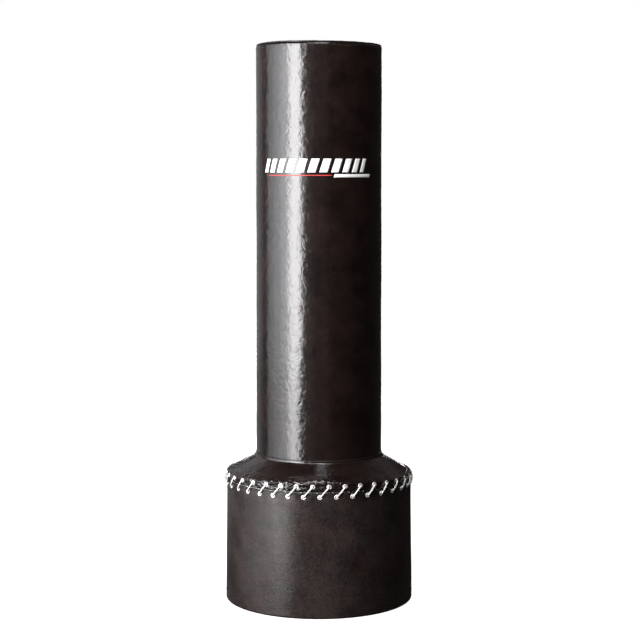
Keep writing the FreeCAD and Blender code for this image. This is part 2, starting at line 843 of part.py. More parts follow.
def core_nuts():
    """The nuts that pull the socket, the foot plate and the upper clamp together."""
    body = new_body("core_nuts")

    def nut(sketch):
        hexagon(sketch)
        draw_circle(sketch, "dims.bolt_circle", "0", "dims.bolt_radius + dims.fit_clearance")

    pad = upright_pad(body, "core_nut", CORE_FLANGE_TOP, nut, "dims.bolt_head_height")
    repeat_round(body, "core_nut_ring", [pad], "dims.bolt_count")


def core_tube():
    """The stiff tube up the middle of the column."""
    inside = "(dims.tube_radius - dims.tube_wall)"
    turned_body(
        "core_tube",
        [
            (inside, PLATE_TOP),
            ("dims.tube_radius", PLATE_TOP),
            ("dims.tube_radius", TUBE_TOP),
            (inside, TUBE_TOP),
        ],
    )


def core_top_cap():
    """The plug that closes the top of the core tube."""
    plug = "(dims.tube_radius - dims.tube_wall)"
    plug_foot = f"({TUBE_TOP} - dims.tube_plug_depth)"
    turned_body(
        "core_top_cap",
        [
            ("0", plug_foot),
            (plug, plug_foot),
            (plug, TUBE_TOP),
            ("dims.tube_radius", TUBE_TOP),
            ("dims.tube_radius", CORE_TOP),
            ("0", CORE_TOP),
        ],
    )


# Column padding
def inner_foam():
    """The firm foam sleeve on the core tube."""
    turned_body(
        "inner_foam",
        [
            ("dims.tube_radius", CORE_COLLAR_TOP),
            ("dims.inner_foam_radius", CORE_COLLAR_TOP),
            ("dims.inner_foam_radius", CORE_TOP),
            ("dims.tube_radius", CORE_TOP),
        ],
    )


def outer_foam():
    """The soft striking foam, carried down round the foot plate."""
    turned_body(
        "outer_foam",
        [
            ("dims.inner_foam_radius", PLATE_TOP),
            (FOOT_PLATE_RADIUS, PLATE_TOP),
            (FOOT_PLATE_RADIUS, SPRING_TOP),
            (COLUMN_LINING, SPRING_TOP),
            (COLUMN_LINING, CORE_TOP),
            ("dims.inner_foam_radius", CORE_TOP),
        ],
        [(COLUMN_LINING, SPRING_TOP, "dims.column_corner_radius - dims.cover_thickness")],
    )


WELT_RING_RADIUS = f"({COLUMN_LINING} - dims.welt_radius + 0.5 * dims.cover_thickness)"
CROWN_RADIUS = f"({WELT_RING_RADIUS} - dims.welt_radius - dims.fit_clearance)"


def top_foam_pad():
    """The pad over the end of the core, sloped to fill the crown."""
    turned_body(
        "top_foam_pad",
        [
            ("0", CORE_TOP),
            (COLUMN_LINING, CORE_TOP),
            (COLUMN_LINING, f"{COVER_TOP} - dims.cover_thickness"),
            (CROWN_RADIUS, f"{CROWN_EDGE} - dims.cover_thickness - dims.fit_clearance"),
            ("0", "dims.total_height - dims.cover_thickness - dims.fit_clearance"),
        ],
    )


# Column cover
def column_cover_wall():
    """The long tube of the column's cover, turned in underneath as a hem."""
    turned_body(
        "column_cover_wall",
        [
            (COLUMN_HEM_RADIUS, COLUMN_FOOT),
            ("dims.column_radius", COLUMN_FOOT),
            ("dims.column_radius", COVER_TOP),
            (COLUMN_LINING, COVER_TOP),
            (COLUMN_LINING, SPRING_TOP),
            (COLUMN_HEM_RADIUS, SPRING_TOP),
        ],
        [
            ("dims.column_radius", COLUMN_FOOT, "dims.column_corner_radius"),
            (COLUMN_LINING, SPRING_TOP, "dims.column_corner_radius - dims.cover_thickness"),
        ],
    )


def column_cover_bottom():
    """The ring of cover under the foot plate, open in the middle for the upper clamp."""
    inside = "(dims.clamp_flange_radius + dims.moving_clearance)"
    corners = [
        (inside, COLUMN_FOOT),
        (COLUMN_HEM_RADIUS, COLUMN_FOOT),
        (COLUMN_HEM_RADIUS, SPRING_TOP),
        (inside, SPRING_TOP),
    ]
    turned_body("column_cover_bottom", corners)


def column_cover_top():
    """The crowned disc that closes the top of the column."""
    corners = [
        ("0", "dims.total_height - dims.cover_thickness"),
        (CROWN_RADIUS, f"{CROWN_EDGE} - dims.cover_thickness"),
        (CROWN_RADIUS, CROWN_EDGE),
        ("0", "dims.total_height"),
    ]
    turned_body("column_cover_top", corners)


def top_seam_welt():
    """The welted seam between the column's wall and its top."""
    welt = doc.addObject("Part::Torus", "top_seam_welt")
    welt.setExpression("Radius1", WELT_RING_RADIUS)
    welt.setExpression("Radius2", "dims.welt_radius")
    welt.setExpression("Placement.Base.z", WELT_HEIGHT)


def build():
    """Make every piece, from the floor up."""
    base_cover_wall()
    base_cover_bottom()
    eyelet_band("wall_eyelet_band", BAND_FOOT, "dims.base_height", LOWER_EYELET, LOWER_BEARING)
    eyelet_band(
        "skirt_eyelet_band", SKIRT_EDGE, f"{SKIRT_EDGE} + dims.band_height", UPPER_EYELET, UPPER_BEARING
    )
    eyelet_ring("wall_eyelets", LOWER_EYELET, LOWER_BEARING)
    eyelet_ring("skirt_eyelets", UPPER_EYELET, UPPER_BEARING)
    skirt_outer_panel()
    skirt_inner_panel()
    collar_rim_binding()
    lace_knot(lacing_cord())
    base_tank()
    ballast_sand()
    filler_gasket()
    filler_cap()
    base_foam_wrap()
    shoulder_foam_ring()
    neck_base_plate()
    tank_inserts()
    spring_clamp("spring_lower_clamp", SPRING_FOOT, "+")
    spring_clamp("spring_upper_clamp", SPRING_TOP, "-")
    bolt_ring(
        "neck_base_bolts",
        f"{WELL_FLOOR} - dims.insert_depth + dims.fit_clearance",
        "dims.insert_depth + dims.neck_plate_thickness + dims.clamp_flange_thickness",
        f"{SPRING_FOOT} + dims.clamp_flange_thickness",
    )
    bolt_ring(
        "core_bolts",
        f"{SPRING_TOP} - dims.clamp_flange_thickness",
        f"{CORE_FLANGE_TOP} + 1.5 * dims.bolt_head_height - {SPRING_TOP} + dims.clamp_flange_thickness",
        f"{SPRING_TOP} - dims.clamp_flange_thickness - dims.bolt_head_height",
    )
    neck_spring()
    core_foot_plate()
    core_lower_flange()
    core_nuts()
    core_tube()
    core_top_cap()
    inner_foam()
    outer_foam()
    top_foam_pad()
    column_cover_wall()
    column_cover_bottom()
    column_cover_top()
    top_seam_welt()
    doc.recompute()


def check_state():
    """Stop if anything in the document failed to build."""
    for item in doc.Objects:
        if "Invalid" in item.State or "Error" in item.State:
            raise RuntimeError(f"{item.Name} failed: {item.State}")


def sub_parts():
    """The finished pieces: bodies and solids that no other feature has used up, and the lace."""
    used_up = {"spring_coil", "spring_slab", "knot_lump"}
    kinds = ("PartDesign::Body", "Part::Cylinder", "Part::Torus", "Part::Cut", "Part::Common", "Part::Feature")
    return [item for item in doc.Objects if item.TypeId in kinds and item.Name not in used_up]


def write_parts():
    """Check every piece and write each to its own file."""
    pieces = sub_parts()
    for piece in pieces:
        if piece.Shape.isNull() or not piece.Shape.isValid():
            raise RuntimeError(f"{piece.Label} has no valid shape")
    os.makedirs("parts", exist_ok=True)
    for piece in pieces:
        piece.Shape.exportStep(f"parts/{piece.Label}.step")
        box = piece.Shape.BoundBox
        print(f"{piece.Label}: {len(piece.Shape.Solids)} solids, z {box.ZMin:.1f} to {box.ZMax:.1f}")


build()
check_state()
write_parts()
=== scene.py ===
import json
import math

import bmesh
import bpy
import numpy as np
from mathutils import Matrix, Quaternion, Vector, noise

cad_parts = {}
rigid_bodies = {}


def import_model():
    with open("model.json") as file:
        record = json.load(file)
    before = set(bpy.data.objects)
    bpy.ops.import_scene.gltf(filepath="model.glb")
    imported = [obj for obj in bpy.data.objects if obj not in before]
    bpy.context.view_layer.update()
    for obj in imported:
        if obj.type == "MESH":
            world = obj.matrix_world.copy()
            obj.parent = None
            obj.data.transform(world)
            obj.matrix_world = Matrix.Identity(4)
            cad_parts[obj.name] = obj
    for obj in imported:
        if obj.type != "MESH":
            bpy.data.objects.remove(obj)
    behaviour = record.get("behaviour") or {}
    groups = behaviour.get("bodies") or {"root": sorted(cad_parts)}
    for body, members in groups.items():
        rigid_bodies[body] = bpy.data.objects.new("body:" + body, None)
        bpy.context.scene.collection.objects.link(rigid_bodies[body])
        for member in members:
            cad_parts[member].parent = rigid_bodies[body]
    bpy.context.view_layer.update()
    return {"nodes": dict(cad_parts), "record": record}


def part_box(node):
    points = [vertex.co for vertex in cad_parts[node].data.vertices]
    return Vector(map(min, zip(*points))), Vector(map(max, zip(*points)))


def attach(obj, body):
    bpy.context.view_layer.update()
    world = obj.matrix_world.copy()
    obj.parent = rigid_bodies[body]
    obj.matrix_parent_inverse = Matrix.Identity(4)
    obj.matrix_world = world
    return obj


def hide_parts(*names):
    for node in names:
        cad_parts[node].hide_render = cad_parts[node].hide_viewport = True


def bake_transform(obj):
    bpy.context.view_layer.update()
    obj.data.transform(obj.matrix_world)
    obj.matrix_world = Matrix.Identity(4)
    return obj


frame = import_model()


def middle_height(node):
    """The height half way up a CAD node."""
    return (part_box(node)[0].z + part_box(node)[1].z) / 2


def half_height(node):
    """Half of a CAD node's height, which is the radius of a ring's round section."""
    return (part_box(node)[1].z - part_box(node)[0].z) / 2


# Sizes in metres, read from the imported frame. A bearing is in degrees, from the front (-Y) towards +X.
COLUMN_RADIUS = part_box("column_cover_wall")[1].x
COLUMN_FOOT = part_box("column_cover_wall")[0].z
COLUMN_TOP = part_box("column_cover_wall")[1].z
CROWN_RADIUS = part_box("column_cover_top")[1].x
CROWN_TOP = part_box("column_cover_top")[1].z
WELT_HEIGHT = middle_height("top_seam_welt")
WELT_RADIUS = half_height("top_seam_welt")
WELT_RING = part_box("top_seam_welt")[1].x - WELT_RADIUS
WALL_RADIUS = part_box("skirt_outer_panel")[1].x
FLOOR_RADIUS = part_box("base_cover_wall")[1].x
HEM_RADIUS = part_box("base_cover_bottom")[1].x
BASE_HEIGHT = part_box("base_cover_wall")[1].z
SKIRT_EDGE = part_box("skirt_outer_panel")[0].z
SPLIT_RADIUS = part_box("skirt_inner_panel")[1].x
SPLIT_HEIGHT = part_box("skirt_outer_panel")[1].z
COLLAR_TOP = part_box("skirt_inner_panel")[1].z
BINDING_RADIUS = half_height("collar_rim_binding")
COLLAR_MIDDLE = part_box("collar_rim_binding")[1].x - BINDING_RADIUS
LOWER_EYELET = middle_height("wall_eyelets")
UPPER_EYELET = middle_height("skirt_eyelets")
EYELET_RADIUS = half_height("wall_eyelets")
SPRING_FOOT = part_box("neck_spring")[0].z
SPRING_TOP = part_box("neck_spring")[1].z
PIVOT = frame["record"]["behaviour"]["joints"][0]["pos_m"][2]

# Sizes of the same pieces that the frame doesn't state, as the CAD has them.
LEATHER = 0.002
SKIRT_SLOPE = 0.515
STITCHES = 36
STITCH_ANGLE = 360 / STITCHES
LOWER_BEARING = 0.5
UPPER_BEARING = LOWER_BEARING + 5.4
LACE_RADIUS = 0.0022
BORE_RADIUS = EYELET_RADIUS - 0.0032
BARREL_RADIUS = BORE_RADIUS + 0.0008
COLLAR_RADIUS = COLLAR_MIDDLE + LEATHER / 2
SKIRT_CORNER = SPLIT_HEIGHT - (WALL_RADIUS - SPLIT_RADIUS) * SKIRT_SLOPE
COLLAR_FOOT = SPLIT_HEIGHT + (SPLIT_RADIUS - COLLAR_RADIUS) * SKIRT_SLOPE
UP = Vector((0, 0, 1))


# ---------------------------------------------------------------- shapes


def at(radius, bearing, height):
    """The point at a radius, bearing and height."""
    angle = math.radians(bearing)
    return Vector((radius * math.sin(angle), -radius * math.cos(angle), height))


def held(value):
    """A value kept from 0 to 1."""
    return min(1, max(0, value))


def bell(distance, width):
    """1 at no distance, falling smoothly to 0 past width."""
    return math.exp(-((distance / width) ** 2))


def nearness(bearing, middle, spread):
    """1 at the middle bearing, falling smoothly to 0 all round."""
    return bell((bearing - middle + 180) % 360 - 180, spread)


def wobble(point, size, seed=0.0):
    """Smooth noise from -1 to 1, with bumps about size metres across."""
    return noise.noise(point / size + Vector((seed, 1.7 * seed, 0)))


def line_to(points, end, step):
    """Carry a list of points on to end in a straight line, about step apart."""
    start = points[-1]
    count = max(1, round((end - start).length / step))
    points.extend(start.lerp(end, number / count) for number in range(1, count + 1))


def rounded_outline(corners, step, arc_step=0.0015):
    """Points along straight sides whose corners are (radius, height, rounding)."""
    points = [Vector(corners[0][:2])]
    for before, corner, after in zip(corners, corners[1:], corners[2:]):
        here = Vector(corner[:2])
        if corner[2] == 0:
            line_to(points, here, step)
            continue
        back = (Vector(before[:2]) - here).normalized()
        ahead = (Vector(after[:2]) - here).normalized()
        half_angle = back.angle(ahead) / 2
        reach = corner[2] / math.tan(half_angle)
        centre = here + (back + ahead).normalized() * corner[2] / math.sin(half_angle)
        line_to(points, here + back * reach, step)
        spoke = here + back * reach - centre
        turn = spoke.angle_signed(here + ahead * reach - centre)
        count = max(3, round(abs(turn) * corner[2] / arc_step))
        for number in range(1, count + 1):
            angle = -turn * number / count
            points.append(centre + Matrix.Rotation(angle, 2) @ spoke)
    line_to(points, Vector(corners[-1][:2]), step)
    return points


def new_object(name, vertices, faces, material):
    """An object made of vertices and faces, shaded smooth."""
    mesh = bpy.data.meshes.new(name)
    mesh.from_pydata([tuple(vertex) for vertex in vertices], [], faces)
    mesh.update()
    mesh.polygons.foreach_set("use_smooth", [True] * len(mesh.polygons))
    piece = bpy.data.objects.new(name, mesh)
    bpy.context.scene.collection.objects.link(piece)
    mesh.materials.append(material)
    return piece


def grid_faces(rows, columns, close_rows=False, start=0, flip=False, close_columns=True):
    """Faces of a grid that closes round its columns unless told not to, and over its rows if asked."""
    faces = []
    for row in range(rows if close_rows else rows - 1):
        above = (row + 1) % rows
        for column in range(columns if close_columns else columns - 1):
            side = (column + 1) % columns
            corners = [row * columns + column, row * columns + side, above * columns + side]
            corners.append(above * columns + column)
            faces.append([start + corner for corner in (corners[::-1] if flip else corners)])
    return faces


def circle(side, up, count):
    """Directions evenly round a circle, from side towards up."""
    angles = [2 * math.pi * number / count for number in range(count)]
    return [side * math.cos(angle) + up * math.sin(angle) for angle in angles]


def end_faces(rows, columns, start=0):
    """The two flat ends of an open tube of points."""
    last = start + (rows - 1) * columns
    return [list(range(start, start + columns))[::-1], list(range(last, last + columns))]


def turned(name, outline, columns, material, push=None, lift=None, closed=True):
    """A surface turned from an outline of (radius, height). push moves points out, lift up."""
    vertices = []
    for radius, height in outline:
        for column in range(columns):
            bearing = 360 * column / columns
            out = push(bearing, height) if push else 0
            up = lift(radius, bearing, height) if lift else 0
            vertices.append(at(radius + out, bearing, height + up))
    faces = grid_faces(len(outline), columns, close_rows=closed)
    return new_object(name, vertices, faces, material)


def sheet_normals(sheet):
    """Outward normals of a sheet of points, indexed by row and column."""
    along = np.gradient(sheet, axis=0)
    around = np.roll(sheet, -1, axis=1) - np.roll(sheet, 1, axis=1)
    normals = np.cross(around, along)
    return normals / np.linalg.norm(normals, axis=2, keepdims=True)


def shell(name, sheet, normals, material, thickness=LEATHER):
    """A closed shell whose outside is the sheet, with the sheet's own normals on both faces."""
    rows, columns = sheet.shape[:2]
    inside = sheet - normals * thickness
    vertices = np.concatenate([sheet.reshape(-1, 3), inside.reshape(-1, 3)])
    offset = rows * columns
    faces = grid_faces(rows, columns) + grid_faces(rows, columns, start=offset, flip=True)
    top = (rows - 1) * columns
    for column in range(columns):
        side = (column + 1) % columns
        faces.append([column, offset + column, offset + side, side])
        faces.append([top + column, top + side, offset + top + side, offset + top + column])
    piece = new_object(name, vertices, faces, material)
    both = np.concatenate([normals.reshape(-1, 3), -normals.reshape(-1, 3)])
    piece.data.normals_split_custom_set_from_vertices([tuple(normal) for normal in both])
    return piece


def frames_along(path, closed):
    """A side direction for each point of a path, turning as little as it can."""
    count = len(path)
    tangents = []
    for number in range(count):
        before = path[number - 1] if closed or number else path[0]
        after = path[(number + 1) % count] if closed or number < count - 1 else path[-1]
        tangents.append((after - before).normalized())
    side = tangents[0].orthogonal().normalized()
    sides = []
    for number, tangent in enumerate(tangents):
        if number:
            side = tangents[number - 1].rotation_difference(tangent) @ side
        side = (side - tangent * side.dot(tangent)).normalized()
        sides.append(side)
    return tangents, sides


def tube(name, path, radius, material, closed=False, sides=12):
    """A round tube along a path, with its length and its angle kept for the material."""
    tangents, directions = frames_along(path, closed)
    vertices = []
    strand = []
    along = 0.0
    for number, point in enumerate(path):
        if number:
            along += (point - path[number - 1]).length
        across = tangents[number].cross(directions[number])
        vertices += [point + out * radius for out in circle(directions[number], across, sides)]
        strand += [(turn.x, turn.y, along) for turn in circle(Vector((1, 0)), Vector((0, 1)), sides)]
    faces = grid_faces(len(path), sides, close_rows=closed)
    if not closed:
        faces += end_faces(len(path), sides)
    piece = new_object(name, vertices, faces, material)
    attribute = piece.data.attributes.new("strand", "FLOAT_VECTOR", "POINT")
    attribute.data.foreach_set("vector", np.array(strand, dtype=np.float32).ravel())
    return piece


def join(name, parts):
    """Join objects into one, under a new name."""
    for part in bpy.context.view_layer.objects:
        part.select_set(False)
    for part in parts:
        part.select_set(True)
    bpy.context.view_layer.objects.active = parts[0]
    bpy.ops.object.join()
    parts[0].name = name
    parts[0].data.name = name
    return parts[0]


def apply_modifiers(piece):
    """Turn an object's modifiers into its mesh."""
    graph = bpy.context.evaluated_depsgraph_get()
    graph.update()
    made = bpy.data.meshes.new_from_object(piece.evaluated_get(graph))
    piece.modifiers.clear()
    piece.data = made


def thicken(piece, thickness):
    """Give a sheet a thickness, inwards."""
    thick = piece.modifiers.new("thick", "SOLIDIFY")
    thick.thickness = thickness
    thick.offset = -1
    apply_modifiers(piece)


def pierce(piece, place):
    """Cut a ring of eyelet holes through the upright side of a shell."""
    vertices = []
    faces = []
    segments = 20
    past_leather = 0.012
    for stitch in range(STITCHES):
        bearing, height = place(stitch)
        start = len(vertices)
        spokes = circle(at(1, bearing + 90, 0), UP, segments)
        for reach in (WALL_RADIUS - past_leather, WALL_RADIUS + past_leather):
            vertices += [at(reach, bearing, height) + spoke * BARREL_RADIUS for spoke in spokes]
        faces += grid_faces(2, segments, start=start) + end_faces(2, segments, start)
    cutter = new_object("cutter", vertices, faces, piece.data.materials[0])
    holes = piece.modifiers.new("holes", "BOOLEAN")
    holes.object = cutter
    holes.operation = "DIFFERENCE"
    holes.solver = "MANIFOLD"
    apply_modifiers(piece)
    bpy.data.objects.remove(cutter)


def settle(piece, pins, slack, pressure, limit, stretch=(0.0, 0.0)):
    """Let cloth simulation crumple a sheet. pins and slack hold a weight for each point."""
    mesh = piece.data
    start = np.array([vertex.co for vertex in mesh.vertices])
    for name, weights in (("pins", pins), ("slack", slack)):
        group = piece.vertex_groups.new(name=name)
        for number, weight in enumerate(weights):
            if weight > 0:
                group.add([number], float(weight), "REPLACE")
    cloth = piece.modifiers.new("cloth", "CLOTH")
    settings = cloth.settings
    settings.quality = 6
    settings.mass = 0.4
    settings.tension_stiffness = 40
    settings.compression_stiffness = 40
    settings.shear_stiffness = 15
    settings.bending_stiffness = 0.03
    settings.vertex_group_mass = "pins"
    settings.vertex_group_shrink = "slack"
    settings.shrink_min, settings.shrink_max = stretch
    settings.use_pressure = True
    settings.uniform_pressure_force = pressure
    settings.effector_weights.gravity = 0
    cloth.collision_settings.use_collision = False
    for number in range(1, 21):
        bpy.context.scene.frame_set(number)
    graph = bpy.context.evaluated_depsgraph_get()
    settled = piece.evaluated_get(graph).data
    moved = np.array([vertex.co for vertex in settled.vertices]) - start
    piece.modifiers.clear()
    bpy.context.scene.frame_set(1)
    length = np.linalg.norm(moved, axis=1, keepdims=True)
    moved *= np.minimum(1, limit / np.maximum(length, 1e-9))
    mesh.vertices.foreach_set("co", (start + moved).astype(np.float32).ravel())
    mesh.update()


# ---------------------------------------------------------------- materials


class Nodes:
    """A short way to write a material's nodes."""

    def __init__(self, name):
        self.material = bpy.data.materials.new(name)
        self.material.use_nodes = True
        self.tree = self.material.node_tree
        self.shader = self.tree.nodes["Principled BSDF"]
        place = self.tree.nodes.new("ShaderNodeTexCoord")
        self.place = place.outputs["Object"]

    def add(self, kind, settings=(), **inputs):
        """A node with some settings, and inputs that are values or other nodes' sockets."""
        node = self.tree.nodes.new(kind)
        for key, value in dict(settings).items():
            setattr(node, key, value)
        for key, value in inputs.items():
            socket = node.inputs[int(key[1:])] if key[0] == "i" and key[1:].isdigit() else node.inputs[key]
            self.put(socket, value)
        return node

    def put(self, socket, value):
        """Give a socket a value, or link another socket to it."""
        if isinstance(value, bpy.types.NodeSocket):
            self.tree.links.new(value, socket)
        else:
            socket.default_value = value

    def set(self, **inputs):
        """Set the shader's inputs, written with _ for a space."""
        for key, value in inputs.items():
            self.put(self.shader.inputs[key.replace("_", " ")], value)

    def noise(self, scale, detail=3.0, roughness=0.5, distortion=0.0, place=None):
        """Cloudy noise, from 0 to 1."""
        node = self.add("ShaderNodeTexNoise", Vector=place or self.place, Scale=scale, Detail=detail)
        self.put(node.inputs["Roughness"], roughness)
        self.put(node.inputs["Distortion"], distortion)
        return node.outputs["Fac"]

    def cells(self, scale, feature="F1", randomness=1.0):
        """Distance to the nearest cell's middle or edge."""
        node = self.add("ShaderNodeTexVoronoi", {"feature": feature}, Vector=self.place, Scale=scale)
        self.put(node.inputs["Randomness"], randomness)
        return node.outputs["Distance"]

    def stretched(self, x=1.0, y=1.0, z=1.0):
        """The object's own place, scaled along each axis."""
        return self.add("ShaderNodeMapping", Vector=self.place, Scale=(x, y, z)).outputs["Vector"]

    def math(self, operation, first, second=0.0, clamp=False):
        """Arithmetic on two values."""
        node = self.add("ShaderNodeMath", {"operation": operation, "use_clamp": clamp}, i0=first)
        self.put(node.inputs[1], second)
        return node.outputs["Value"]

    def range(self, value, low, high, to_low, to_high):
        """Map a value from one range to another, held at the ends."""
        node = self.add("ShaderNodeMapRange", Value=value)
        for socket, number in zip(node.inputs[1:5], (low, high, to_low, to_high)):
            self.put(socket, number)
        return node.outputs["Result"]

    def mix(self, factor, first, second):
        """Mix two colours."""
        node = self.add("ShaderNodeMix", {"data_type": "RGBA"})
        for socket, value in ((node.inputs[0], factor), (node.inputs[6], first), (node.inputs[7], second)):
            self.put(socket, value)
        return node.outputs[2]

    def bump(self, height, distance, strength=1.0, under=None):
        """Raise the surface by height times distance, on top of another bump."""
        node = self.add("ShaderNodeBump", Height=height, Distance=distance, Strength=strength)
        if under:
            self.put(node.inputs["Normal"], under)
        return node.outputs["Normal"]


def leather(name, tint, gloss, dust=0.0, crinkle=1.0, shine=0.5):
    """Black coated leather: pebble grain over soft crinkles, with scuffs and a film of dust."""
    nodes = Nodes(name)
    crinkles = nodes.noise(55, 4, 0.55, 0.4)
    creases = nodes.math("ABSOLUTE", nodes.math("SUBTRACT", nodes.noise(28, 3, 0.5, 0.8), 0.5))
    creases = nodes.range(creases, 0.0, 0.06, 0.0, 1.0)
    pebbles = nodes.cells(520, "SMOOTH_F1")
    pores = nodes.noise(1400, 2, 0.6)
    normal = nodes.bump(crinkles, 0.0011 * crinkle)
    normal = nodes.bump(creases, 0.00012 * crinkle, under=normal)
    normal = nodes.bump(pebbles, 0.00006, under=normal)
    normal = nodes.bump(pores, 0.00003, under=normal)
    film = nodes.noise(9, 5, 0.62, 0.5)
    specks = nodes.noise(160, 3, 0.7)
    film = nodes.range(nodes.math("MULTIPLY", film, specks), 0.16, 0.36, 0.0, dust)
    patches = nodes.noise(14, 4, 0.6)
    deep = tuple(channel * 0.55 for channel in tint) + (1,)
    pale = tuple(channel * 1.5 for channel in tint) + (1,)
    colour = nodes.mix(nodes.range(patches, 0.35, 0.7, 0, 1), deep, pale)
    colour = nodes.mix(film, colour, (0.075, 0.073, 0.075, 1))
    rough = nodes.range(nodes.noise(70, 4, 0.6), 0.3, 0.7, gloss * 0.8, gloss * 1.25)
    rough = nodes.math("ADD", rough, nodes.math("MULTIPLY", film, 0.35), clamp=True)
    nodes.set(Base_Color=colour, Roughness=rough, Normal=normal)
    nodes.set(Specular_IOR_Level=shine, IOR=1.5)
    return nodes.material


def chrome():
    """Polished eyelet metal with hairline scratches and a faint tarnish."""
    nodes = Nodes("eyelet_chrome")
    tarnish = nodes.noise(300, 4, 0.6)
    scratches = nodes.noise(2500, 2, 0.5, place=nodes.stretched(1, 1, 0.15))
    nodes.set(Metallic=0.45, Base_Color=nodes.mix(tarnish, (0.9, 0.9, 0.9, 1), (0.7, 0.69, 0.68, 1)))
    nodes.set(Roughness=nodes.range(scratches, 0.3, 0.7, 0.2, 0.36))
    nodes.set(Normal=nodes.bump(scratches, 0.00002))
    return nodes.material


def braided_cord():
    """White braided cord, its strands crossing both ways along it, with painted shade in the grooves between
    them.
    """
    nodes = Nodes("lace_braid")
    strand = nodes.add("ShaderNodeAttribute", {"attribute_name": "strand"}).outputs["Vector"]
    axes = nodes.add("ShaderNodeSeparateXYZ", Vector=strand).outputs
    angle = nodes.math("ARCTAN2", axes[1], axes[0])
    turns = nodes.math("MULTIPLY", angle, 4.0)
    along = nodes.math("MULTIPLY", axes[2], 1400.0)
    leaning = nodes.math("SINE", nodes.math("ADD", turns, along))
    crossing = nodes.math("SINE", nodes.math("SUBTRACT", turns, along))
    weave = nodes.math("MAXIMUM", leaning, crossing)
    fibres = nodes.noise(3500, 3, 0.7)
    grime = nodes.noise(60, 4, 0.6)
    # The cord is painted darker down the grooves between its strands, where the weave's bump sinks: painted
    # shade. The grime mixed over it is real dirt.
    weave_with_painted_shade = nodes.mix(nodes.range(weave, -0.6, 0.9, 0, 1), (0.34, 0.33, 0.31, 1), (0.86, 0.85, 0.83, 1))
    nodes.set(Base_Color=nodes.mix(nodes.range(grime, 0.5, 0.8, 0, 0.4), weave_with_painted_shade, (0.42, 0.39, 0.36, 1)))
    nodes.set(Roughness=nodes.range(fibres, 0.2, 0.8, 0.6, 0.85), Sheen_Weight=0.3)
    nodes.set(Normal=nodes.bump(fibres, 0.0001, under=nodes.bump(weave, 0.0004)))
    return nodes.material


def thread():
    """Black waxed thread, twisted."""
    nodes = Nodes("waxed_thread")
    twist = nodes.noise(2600, 2, 0.5, place=nodes.stretched(1, 1, 0.5))
    nodes.set(Base_Color=nodes.mix(twist, (0.008, 0.008, 0.008, 1), (0.03, 0.029, 0.028, 1)))
    nodes.set(Roughness=nodes.range(twist, 0.3, 0.7, 0.35, 0.6), Normal=nodes.bump(twist, 0.0002))
    return nodes.material


def print_ink(name, colour):
    """Screen printed ink, slightly worn, that follows the leather's grain."""
    nodes = Nodes(name)
    wear = nodes.noise(220, 5, 0.65)
    worn = tuple(channel * 0.72 for channel in colour) + (1,)
    nodes.set(Base_Color=nodes.mix(nodes.range(wear, 0.5, 0.75, 0, 1), colour + (1,), worn))
    nodes.set(Roughness=nodes.range(wear, 0.3, 0.7, 0.32, 0.55))
    nodes.set(Normal=nodes.bump(nodes.cells(520, "SMOOTH_F1"), 0.00006))
    return nodes.material


def grained(name, pale, dark, scale, rough, depth, metallic=0.0):
    """Any plain material: two mottled colours, uneven gloss and a fine relief."""
    nodes = Nodes(name)
    pattern = nodes.noise(scale, 4, 0.6, 0.3)
    broad = nodes.noise(scale / 8, 3, 0.5)
    nodes.set(Base_Color=nodes.mix(nodes.math("MULTIPLY", pattern, broad), dark + (1,), pale + (1,)))
    nodes.set(Roughness=nodes.range(pattern, 0.3, 0.7, rough * 0.85, min(1.0, rough * 1.15)))
    nodes.set(Normal=nodes.bump(pattern, depth), Metallic=metallic)
    return nodes.material


def foam(name, pale, dark):
    """Open celled foam, with painted shade in the pits of its cells."""
    nodes = Nodes(name)
    pits = nodes.cells(700)
    patches = nodes.noise(30, 3, 0.5)
    # The pits of the cells are painted darker, where the bump sinks them: painted shade, over patchy tone
    # that differs at random.
    nodes.set(Base_Color=nodes.mix(nodes.math("MULTIPLY", pits, patches), dark + (1,), pale + (1,)))
    nodes.set(Roughness=nodes.range(patches, 0.3, 0.7, 0.85, 1.0), Normal=nodes.bump(pits, 0.0006))
    return nodes.material


def webbing():
    """Woven reinforcing tape, with painted shade in the hollows of its weave."""
    nodes = Nodes("woven_tape")
    around = nodes.add("ShaderNodeTexWave", {"bands_direction": "DIAGONAL"}, Vector=nodes.place)
    nodes.put(around.inputs["Scale"], 260)
    across = nodes.add("ShaderNodeTexWave", {"bands_direction": "Z"}, Vector=nodes.place)
    nodes.put(across.inputs["Scale"], 400)
    weave = nodes.math("MULTIPLY", around.outputs["Fac"], across.outputs["Fac"])
    # The tape is painted darker in the hollows of the weave, where its bump sinks: painted shade.
    nodes.set(Base_Color=nodes.mix(weave, (0.006, 0.006, 0.006, 1), (0.035, 0.034, 0.033, 1)))
    nodes.set(Roughness=nodes.range(weave, 0, 1, 0.95, 0.7), Normal=nodes.bump(weave, 0.0003))
    return nodes.material


def plywood():
    """Birch plywood: long figure on the faces, and plies round the edge."""
    nodes = Nodes("birch_plywood")
    figure = nodes.noise(26, 5, 0.6, 1.5, place=nodes.stretched(0.3, 4, 1))
    height = nodes.add("ShaderNodeSeparateXYZ", Vector=nodes.place).outputs[2]
    plies = nodes.math("SINE", nodes.math("MULTIPLY", height, 2400.0))
    wood = nodes.mix(figure, (0.62, 0.44, 0.25, 1), (0.4, 0.25, 0.12, 1))
    nodes.set(Base_Color=nodes.mix(nodes.range(plies, 0.4, 1, 0, 0.45), wood, (0.24, 0.13, 0.06, 1)))
    nodes.set(Roughness=nodes.range(figure, 0.3, 0.7, 0.5, 0.7), Normal=nodes.bump(figure, 0.0002))
    return nodes.material


# ---------------------------------------------------------------- camera, light and floor


def look_from(distance, height, tilt, across, lens):
    """The camera, in front of the bag and tilted down."""
    data = bpy.data.cameras.new("camera")
    data.lens = lens
    camera = bpy.data.objects.new("camera", data)
    camera.location = (across, -distance, height)
    camera.rotation_euler = (math.radians(90 - tilt), 0, 0)
    bpy.context.scene.collection.objects.link(camera)
    bpy.context.scene.camera = camera


